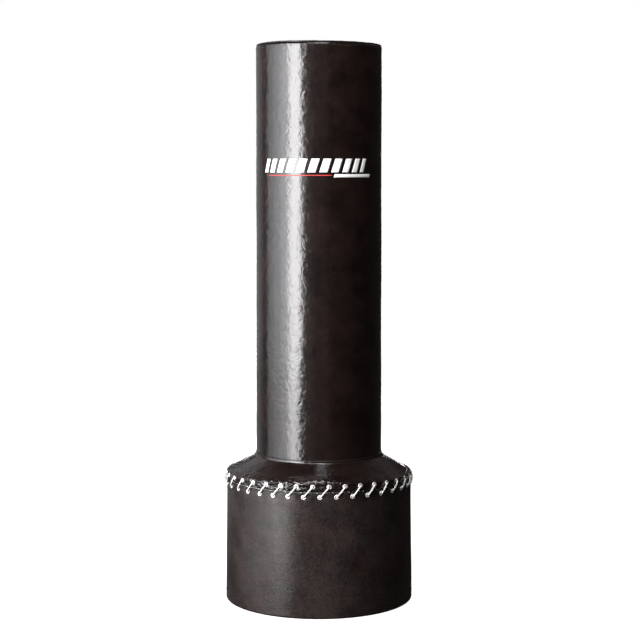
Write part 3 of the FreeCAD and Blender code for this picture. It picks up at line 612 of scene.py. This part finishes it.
def softbox(name, bearing, distance, height, width, length, glow, aim, colour=(1, 1, 1)):
    """A rectangular lamp that faces the point aim and is glow bright."""
    data = bpy.data.lights.new(name, "AREA")
    data.shape = "RECTANGLE"
    data.size = width
    data.size_y = length
    data.energy = glow * math.pi * width * length
    data.color = colour
    lamp = bpy.data.objects.new(name, data)
    lamp.location = at(distance, bearing, height)
    lamp.rotation_mode = "QUATERNION"
    lamp.rotation_quaternion = (Vector(aim) - lamp.location).to_track_quat("-Z", "Y")
    lamp.visible_camera = False
    bpy.context.scene.collection.objects.link(lamp)


def light_studio():
    """Tall softboxes round the left, brighter towards the front, with lamps above and behind."""
    cool = (0.93, 0.96, 1)
    white = (1, 1, 1)
    panels = (
        ("key_panel", -54, -31, 21.0, white),
        ("key_side_panel", -72, -54, 8.0, cool),
        ("side_panel", -88, -72, 4.6, cool),
        ("far_side_panel", -104, -88, 2.5, cool),
        ("margin_panel", -122, -104, 0.16, cool),
        ("rear_left_panel", -160, -122, 0.42, cool),
        ("front_fill_panel", -31, -10, 0.36, white),
        ("right_fill_panel", -10, 16, 0.13, white),
    )
    tiers = (("top", 1.1, 2.4, 1.0, 0), ("middle", 0.4, 1.1, 0.95, 0), ("low", -0.4, 0.4, 0.6, 5))
    distance = 2.7
    for name, first, last, glow, colour in panels:
        for tier, foot, top, share, narrower in tiers:
            edge = last - narrower if name == "key_panel" else last
            width = 2 * distance * math.tan(math.radians(edge - first) / 2)
            middle = (foot + top) / 2
            place = ((first + edge) / 2, distance, middle, width, top - foot)
            softbox(f"{name}_{tier}", *place, glow * share, (0, 0, middle), colour)
    softbox("high_front_panel", -4, 2.6, 3.0, 1.9, 0.6, 12.0, (0, 0, 0.4))
    softbox("top_panel", 8, 1.7, 3.3, 0.5, 0.8, 24.0, (0, 0, 0.4))
    softbox("back_panel", 180, 3.0, 1.1, 1.3, 2.0, 4.0, (0, 0, 1))


def fill_world():
    """White behind the bag, and only a dim room with a paler ceiling for it to reflect."""
    world = bpy.data.worlds.new("studio")
    world.use_nodes = True
    bpy.context.scene.world = world
    tree = world.node_tree
    tree.nodes.clear()
    rays = tree.nodes.new("ShaderNodeLightPath")
    place = tree.nodes.new("ShaderNodeTexCoord")
    axes = tree.nodes.new("ShaderNodeSeparateXYZ")
    ceiling = tree.nodes.new("ShaderNodeValToRGB")
    dim = (0.03, 0.03, 0.03, 1)
    for stop, height in zip(ceiling.color_ramp.elements, (0.25, 1)):
        stop.position = height
        stop.color = dim
    for height, glow in ((0.45, 0.18), (0.7, 0.08), (0.9, 0.03)):
        ceiling.color_ramp.elements.new(height).color = (glow, glow, glow, 1)
    room = tree.nodes.new("ShaderNodeBackground")
    room.inputs["Color"].default_value = (1, 0.9, 0.86, 1)
    white = tree.nodes.new("ShaderNodeBackground")
    white.inputs["Color"].default_value = (1, 1, 1, 1)
    choice = tree.nodes.new("ShaderNodeMixShader")
    out = tree.nodes.new("ShaderNodeOutputWorld")
    for source, target in (
        (place.outputs["Generated"], axes.inputs[0]),
        (axes.outputs["Z"], ceiling.inputs["Fac"]),
        (ceiling.outputs[0], room.inputs["Strength"]),
        (rays.outputs["Is Camera Ray"], choice.inputs[0]),
        (room.outputs[0], choice.inputs[1]),
        (white.outputs[0], choice.inputs[2]),
        (choice.outputs[0], out.inputs[0]),
    ):
        tree.links.new(source, target)


def lay_floor():
    """A white floor that only the camera sees. Its glow is a little dimmer within about a metre of the bag:
    painted shade round the base.
    """
    nodes = Nodes("studio_floor")
    grain = nodes.noise(40, 2, 0.5)
    nodes.set(Base_Color=nodes.mix(grain, (0.36, 0.36, 0.36, 1), (0.42, 0.42, 0.42, 1)))
    nodes.set(Roughness=0.9, Specular_IOR_Level=0.0)
    away = nodes.add("ShaderNodeVectorMath", {"operation": "LENGTH"}, i0=nodes.place).outputs["Value"]
    # The floor glows 0.93 near the bag, rising to 1.0 by 1.3 m out: painted shade round the base.
    nodes.set(Emission_Color=(1, 1, 1, 1), Emission_Strength=nodes.range(away, 0.3, 1.3, 0.93, 1.0))
    reach = 60
    corners = [(-reach, -reach, 0), (reach, -reach, 0), (reach, reach, 0), (-reach, reach, 0)]
    floor = new_object("studio_floor", corners, [[0, 1, 2, 3]], nodes.material)
    floor.location.z = -0.0005
    floor.visible_diffuse = False
    floor.visible_glossy = False


bpy.context.scene.view_settings.view_transform = "Standard"
look_from(distance=4.774, height=1.233, tilt=5.0, across=0.003, lens=92.6)
light_studio()
fill_world()
lay_floor()

GLOSSY = leather("column_leather", (0.0080, 0.0045, 0.0038), 0.14)
SATIN = leather("base_leather", (0.0125, 0.0072, 0.0060), 0.33, dust=0.16, crinkle=0.35, shine=0.28)
SKIRT = leather("skirt_leather", (0.0080, 0.0045, 0.0038), 0.17, dust=0.03, crinkle=1.2)
EDGE = leather("edge_leather", (0.0120, 0.0085, 0.0080), 0.2, dust=0.1)
CHROME = chrome()
BRAID = braided_cord()
THREAD = thread()


# ---------------------------------------------------------------- column

# How far the lap of the back seam stands off the cover.
BACK_LAP = 0.0011


def column_surface(bearing, height):
    """How far the column's cover stands proud: slow waves, small dents and a puckered top seam."""
    point = at(COLUMN_RADIUS, bearing, height)
    push = 0.0008 + 0.0016 * (COLUMN_TOP - height) / (COLUMN_TOP - COLUMN_FOOT)
    push += 0.0009 * wobble(point, 0.26, 1.0)
    push += 0.00034 * wobble(point, 0.085, 5.0)
    push += 0.00012 * wobble(point, 0.034, 9.0)
    below = COLUMN_TOP - height
    pucker = math.sin(math.radians(bearing) * 58 + 2.4 * wobble(point, 0.06, 3.0))
    push += 0.0005 * pucker * math.exp(-below / 0.012) * (0.5 + 0.5 * wobble(point, 0.1, 7.0))
    return push - 0.0006 * math.exp(-below / 0.004)


def on_column(bearing, height, lift=0.0):
    """The point on the column's cover at a bearing and height, raised by lift."""
    return at(COLUMN_RADIUS + column_surface(bearing, height) + lift, bearing, height)


def seam_rise(bearing):
    """The top seam stands a little higher at the front left, where it was pulled up."""
    point = at(COLUMN_RADIUS, bearing, 0)
    return 0.0022 * nearness(bearing, -50, 45) + 0.0005 * wobble(point, 0.03, 17.0)


def seam_lift(radius, bearing, height):
    """Carry the rise of the top seam down into the cover."""
    return seam_rise(bearing) * math.exp(-(COLUMN_TOP - height) / 0.015)


def column_cover():
    """The glossy tube of the column, a closed shell that turns in at both ends."""
    hem = COLUMN_RADIUS - 0.015
    lining = COLUMN_RADIUS - LEATHER
    sole = COLUMN_FOOT + LEATHER
    corner = 0.010
    outside = [(hem, COLUMN_FOOT, 0), (COLUMN_RADIUS, COLUMN_FOOT, corner), (COLUMN_RADIUS, COLUMN_TOP, 0)]
    inside = [(lining, COLUMN_TOP, 0), (lining, sole, corner - LEATHER), (hem, sole, 0)]
    outline = rounded_outline(outside, 0.0045) + rounded_outline(inside, 0.08)
    piece = turned("column_cover", outline, 360, GLOSSY, column_surface, seam_lift)
    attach(piece, "column")
    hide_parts("column_cover_wall")


def crown_lift(radius, bearing, height):
    """The crown's dents, and the little puckers where its seam gathers it."""
    point = at(radius, bearing, height)
    reach = radius / CROWN_RADIUS
    pucker = math.sin(math.radians(bearing) * 52 + 3 * wobble(point, 0.07, 4.0))
    lift = 0.0005 * pucker * reach**10 + 0.0012 * (wobble(point, 0.09, 6.0) - 1) * (1 - reach**4)
    return lift + seam_rise(bearing) * reach**6


def column_crown():
    """The crowned top, puckered where the seam gathers it."""
    rows = 34
    columns = 240
    drop = CROWN_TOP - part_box("column_cover_top")[0].z - LEATHER
    outline = []
    for row in range(1, rows + 1):
        share = row / rows
        outline.append(Vector((CROWN_RADIUS * share, CROWN_TOP - drop * share**2.2)))
    lining = [Vector((point.x, point.y - LEATHER)) for point in outline[::-6]]
    piece = turned("column_crown", outline + lining, columns, GLOSSY, lift=crown_lift, closed=False)
    last = (len(outline) + len(lining) - 1) * columns
    close_disc(piece.data, list(range(columns))[::-1])
    close_disc(piece.data, [last + column for column in range(columns)])
    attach(piece, "column")
    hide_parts("column_cover_top")


def close_disc(mesh, ring):
    """Close the hole inside a ring of points with a fan of triangles."""
    sheet = bmesh.new()
    sheet.from_mesh(mesh)
    sheet.verts.ensure_lookup_table()
    corners = [sheet.verts[number] for number in ring]
    middle = sheet.verts.new(sum((corner.co for corner in corners), Vector()) / len(corners))
    for first, second in zip(corners, corners[1:] + corners[:1]):
        face = sheet.faces.new((first, second, middle))
        face.smooth = True
    sheet.to_mesh(mesh)
    sheet.free()


def ring_path(radius, height, count, sway=0.0, rise=0.0, size=0.05, lift=None):
    """A closed ring of points, a little uneven."""
    path = []
    for number in range(count):
        bearing = 360 * number / count
        point = at(radius, bearing, height)
        uneven = Vector((0, 0, rise * wobble(point, size, 13.0) + (lift(bearing) if lift else 0)))
        path.append(point + at(1, bearing, 0) * sway * wobble(point, size, 11.0) + uneven)
    return path


def crown_welt():
    """The welt between the column's wall and its crown, ragged as a turned seam is."""
    path = ring_path(WELT_RING + 0.0006, WELT_HEIGHT, 540, 0.0006, 0.0005, 0.018, seam_rise)
    piece = tube("crown_welt", path, WELT_RADIUS * 0.8, EDGE, closed=True, sides=14)
    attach(piece, "column")
    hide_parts("top_seam_welt")


def stitches(name, body, place, count):
    """A row of sewn stitches. place gives a point and its outward normal for a share of the row."""
    length = 0.0034
    thickness = 0.00042
    sides = 6
    bends = (-0.5, -0.38, -0.15, 0.15, 0.38, 0.5)
    vertices = []
    faces = []
    for number in range(count):
        point, normal = place(number / count)
        ahead = place((number + 0.5) / count)[0]
        run = (ahead - point).normalized()
        side = normal.cross(run).normalized()
        start = len(vertices)
        for share in bends:
            lift = 0.00045 * math.cos(math.pi * share) - 0.0001
            girth = thickness * math.cos(math.pi * share * 0.8)
            middle = point + run * length * share + normal * lift
            vertices += [middle + spoke * girth for spoke in circle(side, normal, sides)]
        faces += grid_faces(len(bends), sides, start=start) + end_faces(len(bends), sides, start)
    piece = new_object(name, vertices, faces, THREAD)
    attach(piece, body)


def column_stitching():
    """The stitching below the top seam and down the back seam."""
    below_top = 0.0075
    back_bearing = 181.6
    back_foot = COLUMN_FOOT + 0.03
    back_top = COLUMN_TOP - 0.015

    def below_welt(share):
        bearing = 360 * share
        return on_column(bearing, COLUMN_TOP - below_top), at(1, bearing, 0)

    def down_back(share):
        height = back_foot + share * (back_top - back_foot)
        return on_column(back_bearing, height, BACK_LAP), at(1, back_bearing, 0)

    stitches("top_seam_stitching", "column", below_welt, 226)
    stitches("back_seam_stitching", "column", down_back, 226)


def back_seam():
    """The lapped seam that closes the column's cover down its back."""
    rows = 240
    foot = COLUMN_FOOT + 0.02
    top = COLUMN_TOP - 0.004
    across = [(-2.6, -0.0008), (-2.5, 0.0008), (0.4, 0.0010), (2.4, BACK_LAP), (2.8, 0.0010), (2.95, -0.0006)]
    vertices = []
    for row in range(rows + 1):
        height = foot + row / rows * (top - foot)
        for step, lift in across:
            edge = 0.12 * wobble(Vector((step, 0, height)), 0.04, 8.0) if abs(step) > 2 else 0
            vertices.append(on_column(180 + step + edge, height, lift))
    faces = grid_faces(rows + 1, len(across), close_columns=False)
    piece = new_object("back_seam_lap", vertices, faces, GLOSSY)
    thicken(piece, 0.0008)
    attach(piece, "column")


def front_mark():
    """A plain printed device of slanted bars over a thin rule, in place of any badge."""
    ink = {
        "white": print_ink("white_ink", (0.82, 0.82, 0.82)),
        "red": print_ink("red_ink", (0.5, 0.03, 0.025)),
    }
    middle = CROWN_TOP - 0.348
    half_bar = 0.019
    gap = 0.0105
    slant = 0.32
    grid_step = 0.003
    bar_count = 11
    bars = []
    start = -0.172
    for number in range(bar_count):
        width = 0.012 + 0.011 * math.sin(math.pi * (number + 0.5) / bar_count)
        bars.append((start, start + width, middle - half_bar, middle + half_bar, "white"))
        start += width + gap
    bars.append((-0.150, 0.045, middle - 0.0285, middle - 0.0262, "red"))
    bars.append((0.052, 0.172, middle - 0.0330, middle - 0.0240, "white"))
    for colour in ink:
        vertices = []
        faces = []
        for left, right, foot, top, shade in bars:
            if shade != colour:
                continue
            rows = max(2, round((top - foot) / grid_step))
            columns = max(2, round((right - left) / grid_step))
            first = len(vertices)
            for row in range(rows + 1):
                height = foot + (top - foot) * row / rows
                lean = (height - middle) * slant
                for column in range(columns + 1):
                    arc = left + (right - left) * column / columns + lean
                    vertices.append(on_column(math.degrees(arc / COLUMN_RADIUS), height, 0.00025))
            faces += grid_faces(rows + 1, columns + 1, start=first, close_columns=False)
        piece = new_object(f"front_mark_{colour}", vertices, faces, ink[colour])
        thicken(piece, 0.00012)
        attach(piece, "column")


# ---------------------------------------------------------------- base

# How far from an eyelet's middle the skirt is held flat.
EYELET_HOLD = 0.0065


def lower_eyelet(stitch):
    """Bearing and height of a lower eyelet, set a little unevenly by hand."""
    bearing = LOWER_BEARING + STITCH_ANGLE * stitch
    return bearing + 1.5 * nearness(bearing, -45, 30), LOWER_EYELET


def upper_eyelet(stitch):
    """Bearing and height of an upper eyelet. The right side sits lower than the front."""
    bearing = UPPER_BEARING + STITCH_ANGLE * stitch
    shift = 0.8 * nearness(bearing, -30, 35) - 0.8 * nearness(bearing, 45, 30)
    rise = 0.0015 * nearness(bearing, 0, 40) - 0.0036 * nearness(bearing, 90, 40)
    return bearing + shift, UPPER_EYELET + rise


def nearest_eyelet(place, bearing, height, radius):
    """Distance over the leather from a point to the closest eyelet of a ring."""
    closest = 1.0
    first = round((bearing - place(0)[0]) / STITCH_ANGLE)
    for stitch in range(first - 1, first + 2):
        eyelet, level = place(stitch)
        closest = min(closest, math.hypot(math.radians(bearing - eyelet) * radius, height - level))
    return closest


def looseness(bearing, height):
    """How free the base wall is of its eyelets, from 0 at one to 1 away from them."""
    return min(1, nearest_eyelet(lower_eyelet, bearing, height, WALL_RADIUS) / 0.022)


def wall_surface(bearing, height):
    """How far the base wall stands proud: slow dents, and puckers where the lace pulls it."""
    point = at(WALL_RADIUS, bearing, height)
    push = 0.0014 * wobble(point, 0.22, 21.0) * math.sin(math.pi * min(1, height / BASE_HEIGHT))
    push += 0.0004 * wobble(point, 0.08, 25.0) * min(1, height / 0.05)
    below = BASE_HEIGHT - height
    if below < 0.08:
        loose = looseness(bearing, height)
        push += (0.0016 * loose - 0.0007) * bell(below, 0.03)
        push += 0.0009 * loose * wobble(point, 0.022, 29.0) * bell(below, 0.022)
    return push


def base_wall():
    """The base's upright wall, a closed shell pierced for the lower eyelets."""
    corners = [
        (HEM_RADIUS, 0, 0),
        (FLOOR_RADIUS, 0, 0.005),
        (WALL_RADIUS, BASE_HEIGHT - 0.022, 0),
        (WALL_RADIUS, BASE_HEIGHT, 0),
    ]
    outline = rounded_outline(corners, 0.0042)
    columns = STITCHES * 10
    sheet = np.zeros((len(outline), columns, 3))
    for row, (radius, height) in enumerate(outline):
        for column in range(columns):
            bearing = LOWER_BEARING + 360 * column / columns
            push = wall_surface(bearing, height) if height > 0.002 else 0
            sag = -0.0012 * looseness(bearing, height) * max(0, 1 - (BASE_HEIGHT - height) / 0.012)
            sheet[row, column] = at(radius + push, bearing, max(0, height + sag))
    piece = shell("base_wall", sheet, sheet_normals(sheet), SATIN)
    pierce(piece, lower_eyelet)
    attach(piece, "base")
    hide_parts("base_cover_wall")


def skirt_sag(bearing, radius, height):
    """How far the slope is raised: it sags at the right, and swells over the foam in front."""
    inwards = WALL_RADIUS - radius
    rise = -0.0095 * nearness(bearing, 90, 50) * bell(inwards - 0.005, 0.040)
    rise += 0.0040 * nearness(bearing, -2, 38) * bell(inwards - 0.011, 0.016)
    fold = 0.007 - 0.002 * wobble(at(radius, bearing, 0), 0.03, 61.0)
    rise += 0.0042 * nearness(bearing, -1, 13) * bell(inwards - fold, 0.0052)
    return rise * held((height - UPPER_EYELET - 0.003) / 0.006)


def skirt_sheet():
    """The skirt as one sheet of points, crumpled by cloth simulation between its eyelets."""
    corners = [
        (WALL_RADIUS, SKIRT_EDGE, 0),
        (WALL_RADIUS, SKIRT_CORNER, 0.007),
        (COLLAR_RADIUS, COLLAR_FOOT, 0.008),
        (COLLAR_RADIUS, COLLAR_TOP, 0),
    ]
    outline = rounded_outline(corners, 0.0035, 0.0025)
    columns = STITCHES * 14
    vertices = []
    pins = []
    slack = []
    for radius, height in outline:
        for column in range(columns):
            bearing = UPPER_BEARING + 360 * column / columns
            point = at(radius, bearing, height)
            reach = nearest_eyelet(upper_eyelet, bearing, height, radius)
            pinned = reach < EYELET_HOLD or height > COLLAR_FOOT - 0.001
            side = bell(height - SKIRT_CORNER + 0.004, 0.016)
            free = held((COLLAR_FOOT - height) / 0.03) * min(1, reach / 0.012)
            push = 0.0020 * side * wobble(point, 0.017, 31.0) + 0.0009 * wobble(point, 0.055, 35.0)
            lift = Vector((0, 0, skirt_sag(bearing, radius, height)))
            vertices.append(point + at(1, bearing, 0.4) * push * free + lift)
            pins.append(1.0 if pinned else 0.0)
            rumpled = nearness(bearing, -22, 42)
            slack.append(min(1, (0.2 + 0.8 * rumpled) * (0.15 + side)))
    piece = new_object("skirt_sheet", vertices, grid_faces(len(outline), columns), SKIRT)
    settle(piece, pins, slack, pressure=1.0, limit=0.005, stretch=(0.0, -0.13))
    sheet = np.array([vertex.co for vertex in piece.data.vertices]).reshape(len(outline), columns, 3)
    bpy.data.objects.remove(piece)
    return sheet


def hold_under_lace(sheet):
    """Keep the skirt's upright side from standing out past the lace, and its edge level."""
    radius = np.hypot(sheet[..., 0], sheet[..., 1])
    most = WALL_RADIUS + 0.0010 + np.clip(sheet[..., 2] - SKIRT_CORNER + 0.008, 0, 0.006)
    factor = np.minimum(1, most / radius)
    sheet[..., 0] *= factor
    sheet[..., 1] *= factor
    sheet[..., 2] = np.maximum(sheet[..., 2], SKIRT_EDGE - 0.0008)
    return sheet


def crease(sheet):
    """Press sharp little creases into the side of the skirt, where the lace bunches it."""
    for row in sheet:
        for place in row:
            point = Vector(place)
            bearing = math.degrees(math.atan2(point.x, -point.y))
            side = bell(point.z - SKIRT_CORNER + 0.006, 0.012)
            bunched = side * (0.06 + 0.94 * nearness(bearing, -24, 36))
            if bunched < 0.02:
                continue
            reach = nearest_eyelet(upper_eyelet, bearing, point.z, WALL_RADIUS)
            bunched *= held((reach - EYELET_HOLD) / 0.006)
            flat = Vector((point.x, point.y, point.z * 1.9))
            ridge = 1 - 3.2 * abs(wobble(flat, 0.024, 51.0))
            ridge += 0.55 * (1 - 3.2 * abs(wobble(flat, 0.012, 55.0)))
            place += np.array(at(0.0026 * bunched * ridge, bearing, 0.0012 * bunched * ridge))
    return sheet


def finer(sheet):
    """The sheet with twice as many points each way, on a smooth surface."""
    rows, columns = sheet.shape[:2]
    around = np.zeros((rows, columns * 2, 3))
    left, right = np.roll(sheet, 1, axis=1), np.roll(sheet, -1, axis=1)
    around[:, ::2] = sheet
    around[:, 1::2] = (9 * (sheet + right) - left - np.roll(sheet, -2, axis=1)) / 16
    made = np.zeros((rows * 2 - 1, columns * 2, 3))
    made[::2] = around
    ahead = np.concatenate([around[2:], around[-1:]])
    behind = np.concatenate([around[:1], around[:-2]])
    made[1::2] = (9 * (around[:-1] + around[1:]) - behind - ahead) / 16
    return made


def skirt():
    """The skirt in two panels that meet half way up its slope."""
    sheet = crease(finer(hold_under_lace(skirt_sheet())))
    normals = sheet_normals(sheet)
    middle_radius = np.hypot(sheet[..., 0], sheet[..., 1]).mean(axis=1)
    split = int(np.argmin(np.abs(middle_radius - SPLIT_RADIUS)))
    outer = shell("skirt_outer", sheet[: split + 1], normals[: split + 1], SKIRT)
    inner = shell("skirt_collar", sheet[split:], normals[split:], SKIRT)
    pierce(outer, upper_eyelet)
    outer_area = math.pi * (WALL_RADIUS**2 - SPLIT_RADIUS**2) / math.cos(math.atan(SKIRT_SLOPE))
    outer_area += 2 * math.pi * WALL_RADIUS * (SKIRT_CORNER - SKIRT_EDGE)
    inner_area = math.pi * (SPLIT_RADIUS**2 - COLLAR_RADIUS**2) / math.cos(math.atan(SKIRT_SLOPE))
    inner_area += 2 * math.pi * COLLAR_RADIUS * (COLLAR_TOP - COLLAR_FOOT)
    for piece, node, area, span in (
        (outer, "skirt_outer_panel", outer_area, (0.36, 0.36)),
        (inner, "skirt_inner_panel", inner_area, (0.3, 0.3)),
    ):
        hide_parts(node)
    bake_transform(outer)
    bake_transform(inner)


def collar_binding():
    """The thin rolled edge of the collar."""
    path = ring_path(COLLAR_MIDDLE, COLLAR_TOP + BINDING_RADIUS * 0.4, 360, 0.0008, 0.0008, 0.06)
    piece = tube("collar_binding", path, BINDING_RADIUS, EDGE, closed=True, sides=10)
    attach(piece, "column")
    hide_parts("collar_rim_binding")


def base_stitching():
    """Hem stitching along the top edge and round the foot of the base's wall."""

    def row_at(height, radius):
        def place(share):
            bearing = 360 * share
            return at(radius + wall_surface(bearing, height), bearing, height), at(1, bearing, 0)

        return place

    stitches("wall_hem_stitching", "base", row_at(BASE_HEIGHT - 0.0035, WALL_RADIUS), 320)
    stitches("foot_seam_stitching", "base", row_at(0.024, FLOOR_RADIUS - 0.0002), 330)


# ---------------------------------------------------------------- lacing


def eyelets(name, node, place):
    """A ring of rolled eyelets: a domed flange outside, a barrel, and a washer inside."""
    back = WALL_RADIUS - 2 * LEATHER - 0.0009
    washer = back + 0.0006
    dome = 0.0016
    dome_points = 10
    middle = (EYELET_RADIUS + BORE_RADIUS) / 2
    half = (EYELET_RADIUS - BORE_RADIUS) / 2
    profile = [(WALL_RADIUS + 0.0001, EYELET_RADIUS)]
    for number in range(1, dome_points):
        angle = math.pi * number / dome_points
        rise = dome * math.sin(angle) ** 0.7
        profile.append((WALL_RADIUS + 0.0002 + rise, middle + half * math.cos(angle)))
    profile += [(WALL_RADIUS, BORE_RADIUS), (back, BORE_RADIUS), (back, EYELET_RADIUS)]
    profile += [(washer, EYELET_RADIUS), (washer, BARREL_RADIUS), (WALL_RADIUS, BARREL_RADIUS)]
    segments = 24
    vertices = []
    faces = []
    for stitch in range(STITCHES):
        bearing, height = place(stitch)
        spokes = circle(at(1, bearing + 90, 0), UP, segments)
        tilt = 0.05 * wobble(Vector((stitch, 0, height)), 1.3, 41.0)
        start = len(vertices)
        for along, reach in profile:
            for spoke in spokes:
                lean = tilt * reach * spoke.z
                vertices.append(at(along + lean, bearing, height) + spoke * reach)
        faces += grid_faces(len(profile), segments, close_rows=True, start=start, flip=True)
    piece = new_object(name, vertices, faces, CHROME)
    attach(piece, "base")
    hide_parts(node)


def rounded_path(points, radius, arc_points):
    """Points along straight runs whose corners are tangent arcs."""
    path = [points[0]]
    for before, corner, after in zip(points, points[1:], points[2:]):
        back = (before - corner).normalized()
        ahead = (after - corner).normalized()
        half_angle = back.angle(ahead) / 2
        reach = min(radius, 0.9 * (corner - before).length) / math.tan(half_angle)
        centre = corner + (back + ahead).normalized() * radius / math.sin(half_angle)
        start = corner + back * reach - centre
        turn = start.rotation_difference(corner + ahead * reach - centre)
        for number in range(arc_points + 1):
            share = Quaternion().slerp(turn, number / arc_points)
            path.append(centre + share @ start)
    path.append(points[-1])
    return path


def lace():
    """The lace: out of each lower eyelet, up over the gap, in at an upper one and back down inside."""
    bend = 0.004
    arc_points = 5
    run_start = arc_points + 1
    outside = WALL_RADIUS + bend
    inside = WALL_RADIUS - 2 * LEATHER - 0.0035
    in_wall = WALL_RADIUS - LEATHER
    loop = []
    for stitch in range(STITCHES):
        lower, lower_height = lower_eyelet(stitch)
        upper, upper_height = upper_eyelet(stitch)
        following, following_height = lower_eyelet(stitch + 1)
        points = [
            at(in_wall, lower, lower_height),
            at(outside, lower, lower_height),
            at(outside, upper, upper_height),
            at(inside, upper, upper_height),
            at(inside, following, following_height),
            at(in_wall, following, following_height),
        ]
        path = rounded_path(points, bend, arc_points)
        bow = 0.0008 * (1 + wobble(Vector((stitch, 3, 0)), 1.7, 43.0))
        shift = 0.0009 * wobble(Vector((stitch, 9, 0)), 1.7, 47.0)
        start, end = path[run_start], path[run_start + 1]
        middle = []
        for share in (0.2, 0.4, 0.6, 0.8):
            swell = math.sin(math.pi * share)
            point = start.lerp(end, share) + at(bow * swell, (lower + upper) / 2, 0)
            middle.append(point + UP * shift * swell)
        loop += path[1 : run_start + 1] + middle + path[run_start + 1 : -1]
    piece = tube("lace", loop, LACE_RADIUS, BRAID, closed=True, sides=14)
    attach(piece, "base")
    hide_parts("lacing_cord")


def lace_knot():
    """The knot at the back that ties the lace's ends, with two short tails."""
    low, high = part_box("lace_knot")
    middle = (low + high) / 2
    bearing = math.degrees(math.atan2(middle.x, -middle.y))
    out = at(1, bearing, 0)
    side = at(1, bearing + 90, 0)
    half_width = 0.0019
    half_depth = 0.0016
    pulled_tight = LACE_RADIUS * 0.86
    loop_points = 72
    tail_runs = 8
    path = []
    for number in range(loop_points):
        angle = 2 * math.pi * number / loop_points
        across = (math.sin(angle) + 2 * math.sin(2 * angle)) * half_width
        rise = (math.cos(angle) - 2 * math.cos(2 * angle)) * half_width
        depth = -math.sin(3 * angle) * half_depth
        path.append(middle + side * across + UP * rise + out * depth)
    parts = [tube("lace_knot_loop", path, pulled_tight, BRAID, closed=True)]
    for lean in (-1, 1):
        tail = []
        for number in range(tail_runs + 1):
            share = number / tail_runs
            drop = middle + side * lean * (0.003 + 0.006 * share) - UP * (0.003 + 0.021 * share)
            radius = WALL_RADIUS + 0.0024 + 0.002 * (1 - share) ** 2
            tail.append(drop + out * (radius - middle.to_2d().length))
        parts.append(tube(f"lace_tail_{lean}", tail, pulled_tight, BRAID))
    piece = join("lace_knot_tied", parts)
    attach(piece, "base")
    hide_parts("lace_knot")


# ---------------------------------------------------------------- sprung neck and inside


def neck_spring():
    """The coil spring in two halves, split at the pivot."""
    wire = 0.010
    pitch = 0.028
    points_per_turn = 40
    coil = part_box("neck_spring")[1].x - wire
    steel = grained("spring_steel", (0.06, 0.06, 0.065), (0.02, 0.02, 0.022), 400, 0.35, 0.0001)
    halves = (
        ("spring_lower_half", SPRING_FOOT, PIVOT, "base", "neck"),
        ("spring_upper_half", PIVOT, SPRING_TOP, "neck", "column"),
    )
    for name, foot, top, lower, upper in halves:
        count = round((top - foot) / pitch * points_per_turn)
        path = []
        for number in range(count + 1):
            height = foot + (top - foot) * number / count
            path.append(at(coil, 90 + 360 * (height - SPRING_FOOT) / pitch, height))
        piece = tube(name, path, wire, steel, sides=16)
        for vertex in piece.data.vertices:
            vertex.co.z = min(max(vertex.co.z, SPRING_FOOT), SPRING_TOP)
        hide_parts("neck_spring")
        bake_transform(piece)


def dress_inside():
    """Give every CAD piece that stays its own material."""
    padding = foam("grey_padding", (0.5, 0.49, 0.46), (0.2, 0.2, 0.19))
    striking = foam("dark_striking_foam", (0.16, 0.16, 0.17), (0.05, 0.05, 0.055))
    steel = grained("painted_steel", (0.05, 0.05, 0.055), (0.02, 0.02, 0.022), 500, 0.4, 0.0001)
    bolts = grained("zinc_plate", (0.62, 0.62, 0.6), (0.42, 0.42, 0.4), 700, 0.3, 0.00005, metallic=1.0)
    brass = grained("turned_brass", (0.72, 0.55, 0.24), (0.5, 0.36, 0.14), 700, 0.3, 0.00005, metallic=1.0)
    tank = grained("blown_plastic", (0.05, 0.05, 0.055), (0.025, 0.025, 0.028), 180, 0.5, 0.0003)
    pipe = grained("grey_pipe_plastic", (0.42, 0.42, 0.41), (0.3, 0.3, 0.29), 200, 0.45, 0.0001)
    cap = grained("red_cap_plastic", (0.5, 0.04, 0.03), (0.3, 0.02, 0.018), 500, 0.4, 0.0001)
    rubber = grained("gasket_rubber", (0.03, 0.03, 0.03), (0.012, 0.012, 0.012), 600, 0.8, 0.0001)
    sand = grained("dry_sand", (0.66, 0.55, 0.39), (0.3, 0.22, 0.13), 1500, 0.95, 0.0015)
    worn_sole = grained("underside_vinyl", (0.045, 0.043, 0.042), (0.015, 0.015, 0.015), 350, 0.7, 0.0004)
    tape = webbing()
    wood = plywood()
    dressed = (
        (worn_sole, ("base_cover_bottom",)),
        (GLOSSY, ("column_cover_bottom",)),
        (tape, ("wall_eyelet_band", "skirt_eyelet_band")),
        (tank, ("base_tank",)),
        (sand, ("ballast_sand",)),
        (rubber, ("filler_gasket",)),
        (cap, ("filler_cap",)),
        (padding, ("base_foam_wrap", "shoulder_foam_ring", "inner_foam")),
        (striking, ("outer_foam", "top_foam_pad")),
        (steel, ("neck_base_plate", "spring_lower_clamp", "spring_upper_clamp", "core_lower_flange")),
        (brass, ("tank_inserts",)),
        (bolts, ("neck_base_bolts", "core_bolts", "core_nuts")),
        (wood, ("core_foot_plate",)),
        (pipe, ("core_tube", "core_top_cap")),
    )
    for material, names in dressed:
        for name in names:
            for slot in frame["nodes"][name].material_slots:
                slot.material = material


column_cover()
column_crown()
crown_welt()
column_stitching()
back_seam()
front_mark()
base_wall()
skirt()
collar_binding()
base_stitching()
eyelets("lower_eyelets", "wall_eyelets", lower_eyelet)
eyelets("upper_eyelets", "skirt_eyelets", upper_eyelet)
lace()
lace_knot()
neck_spring()
dress_inside()
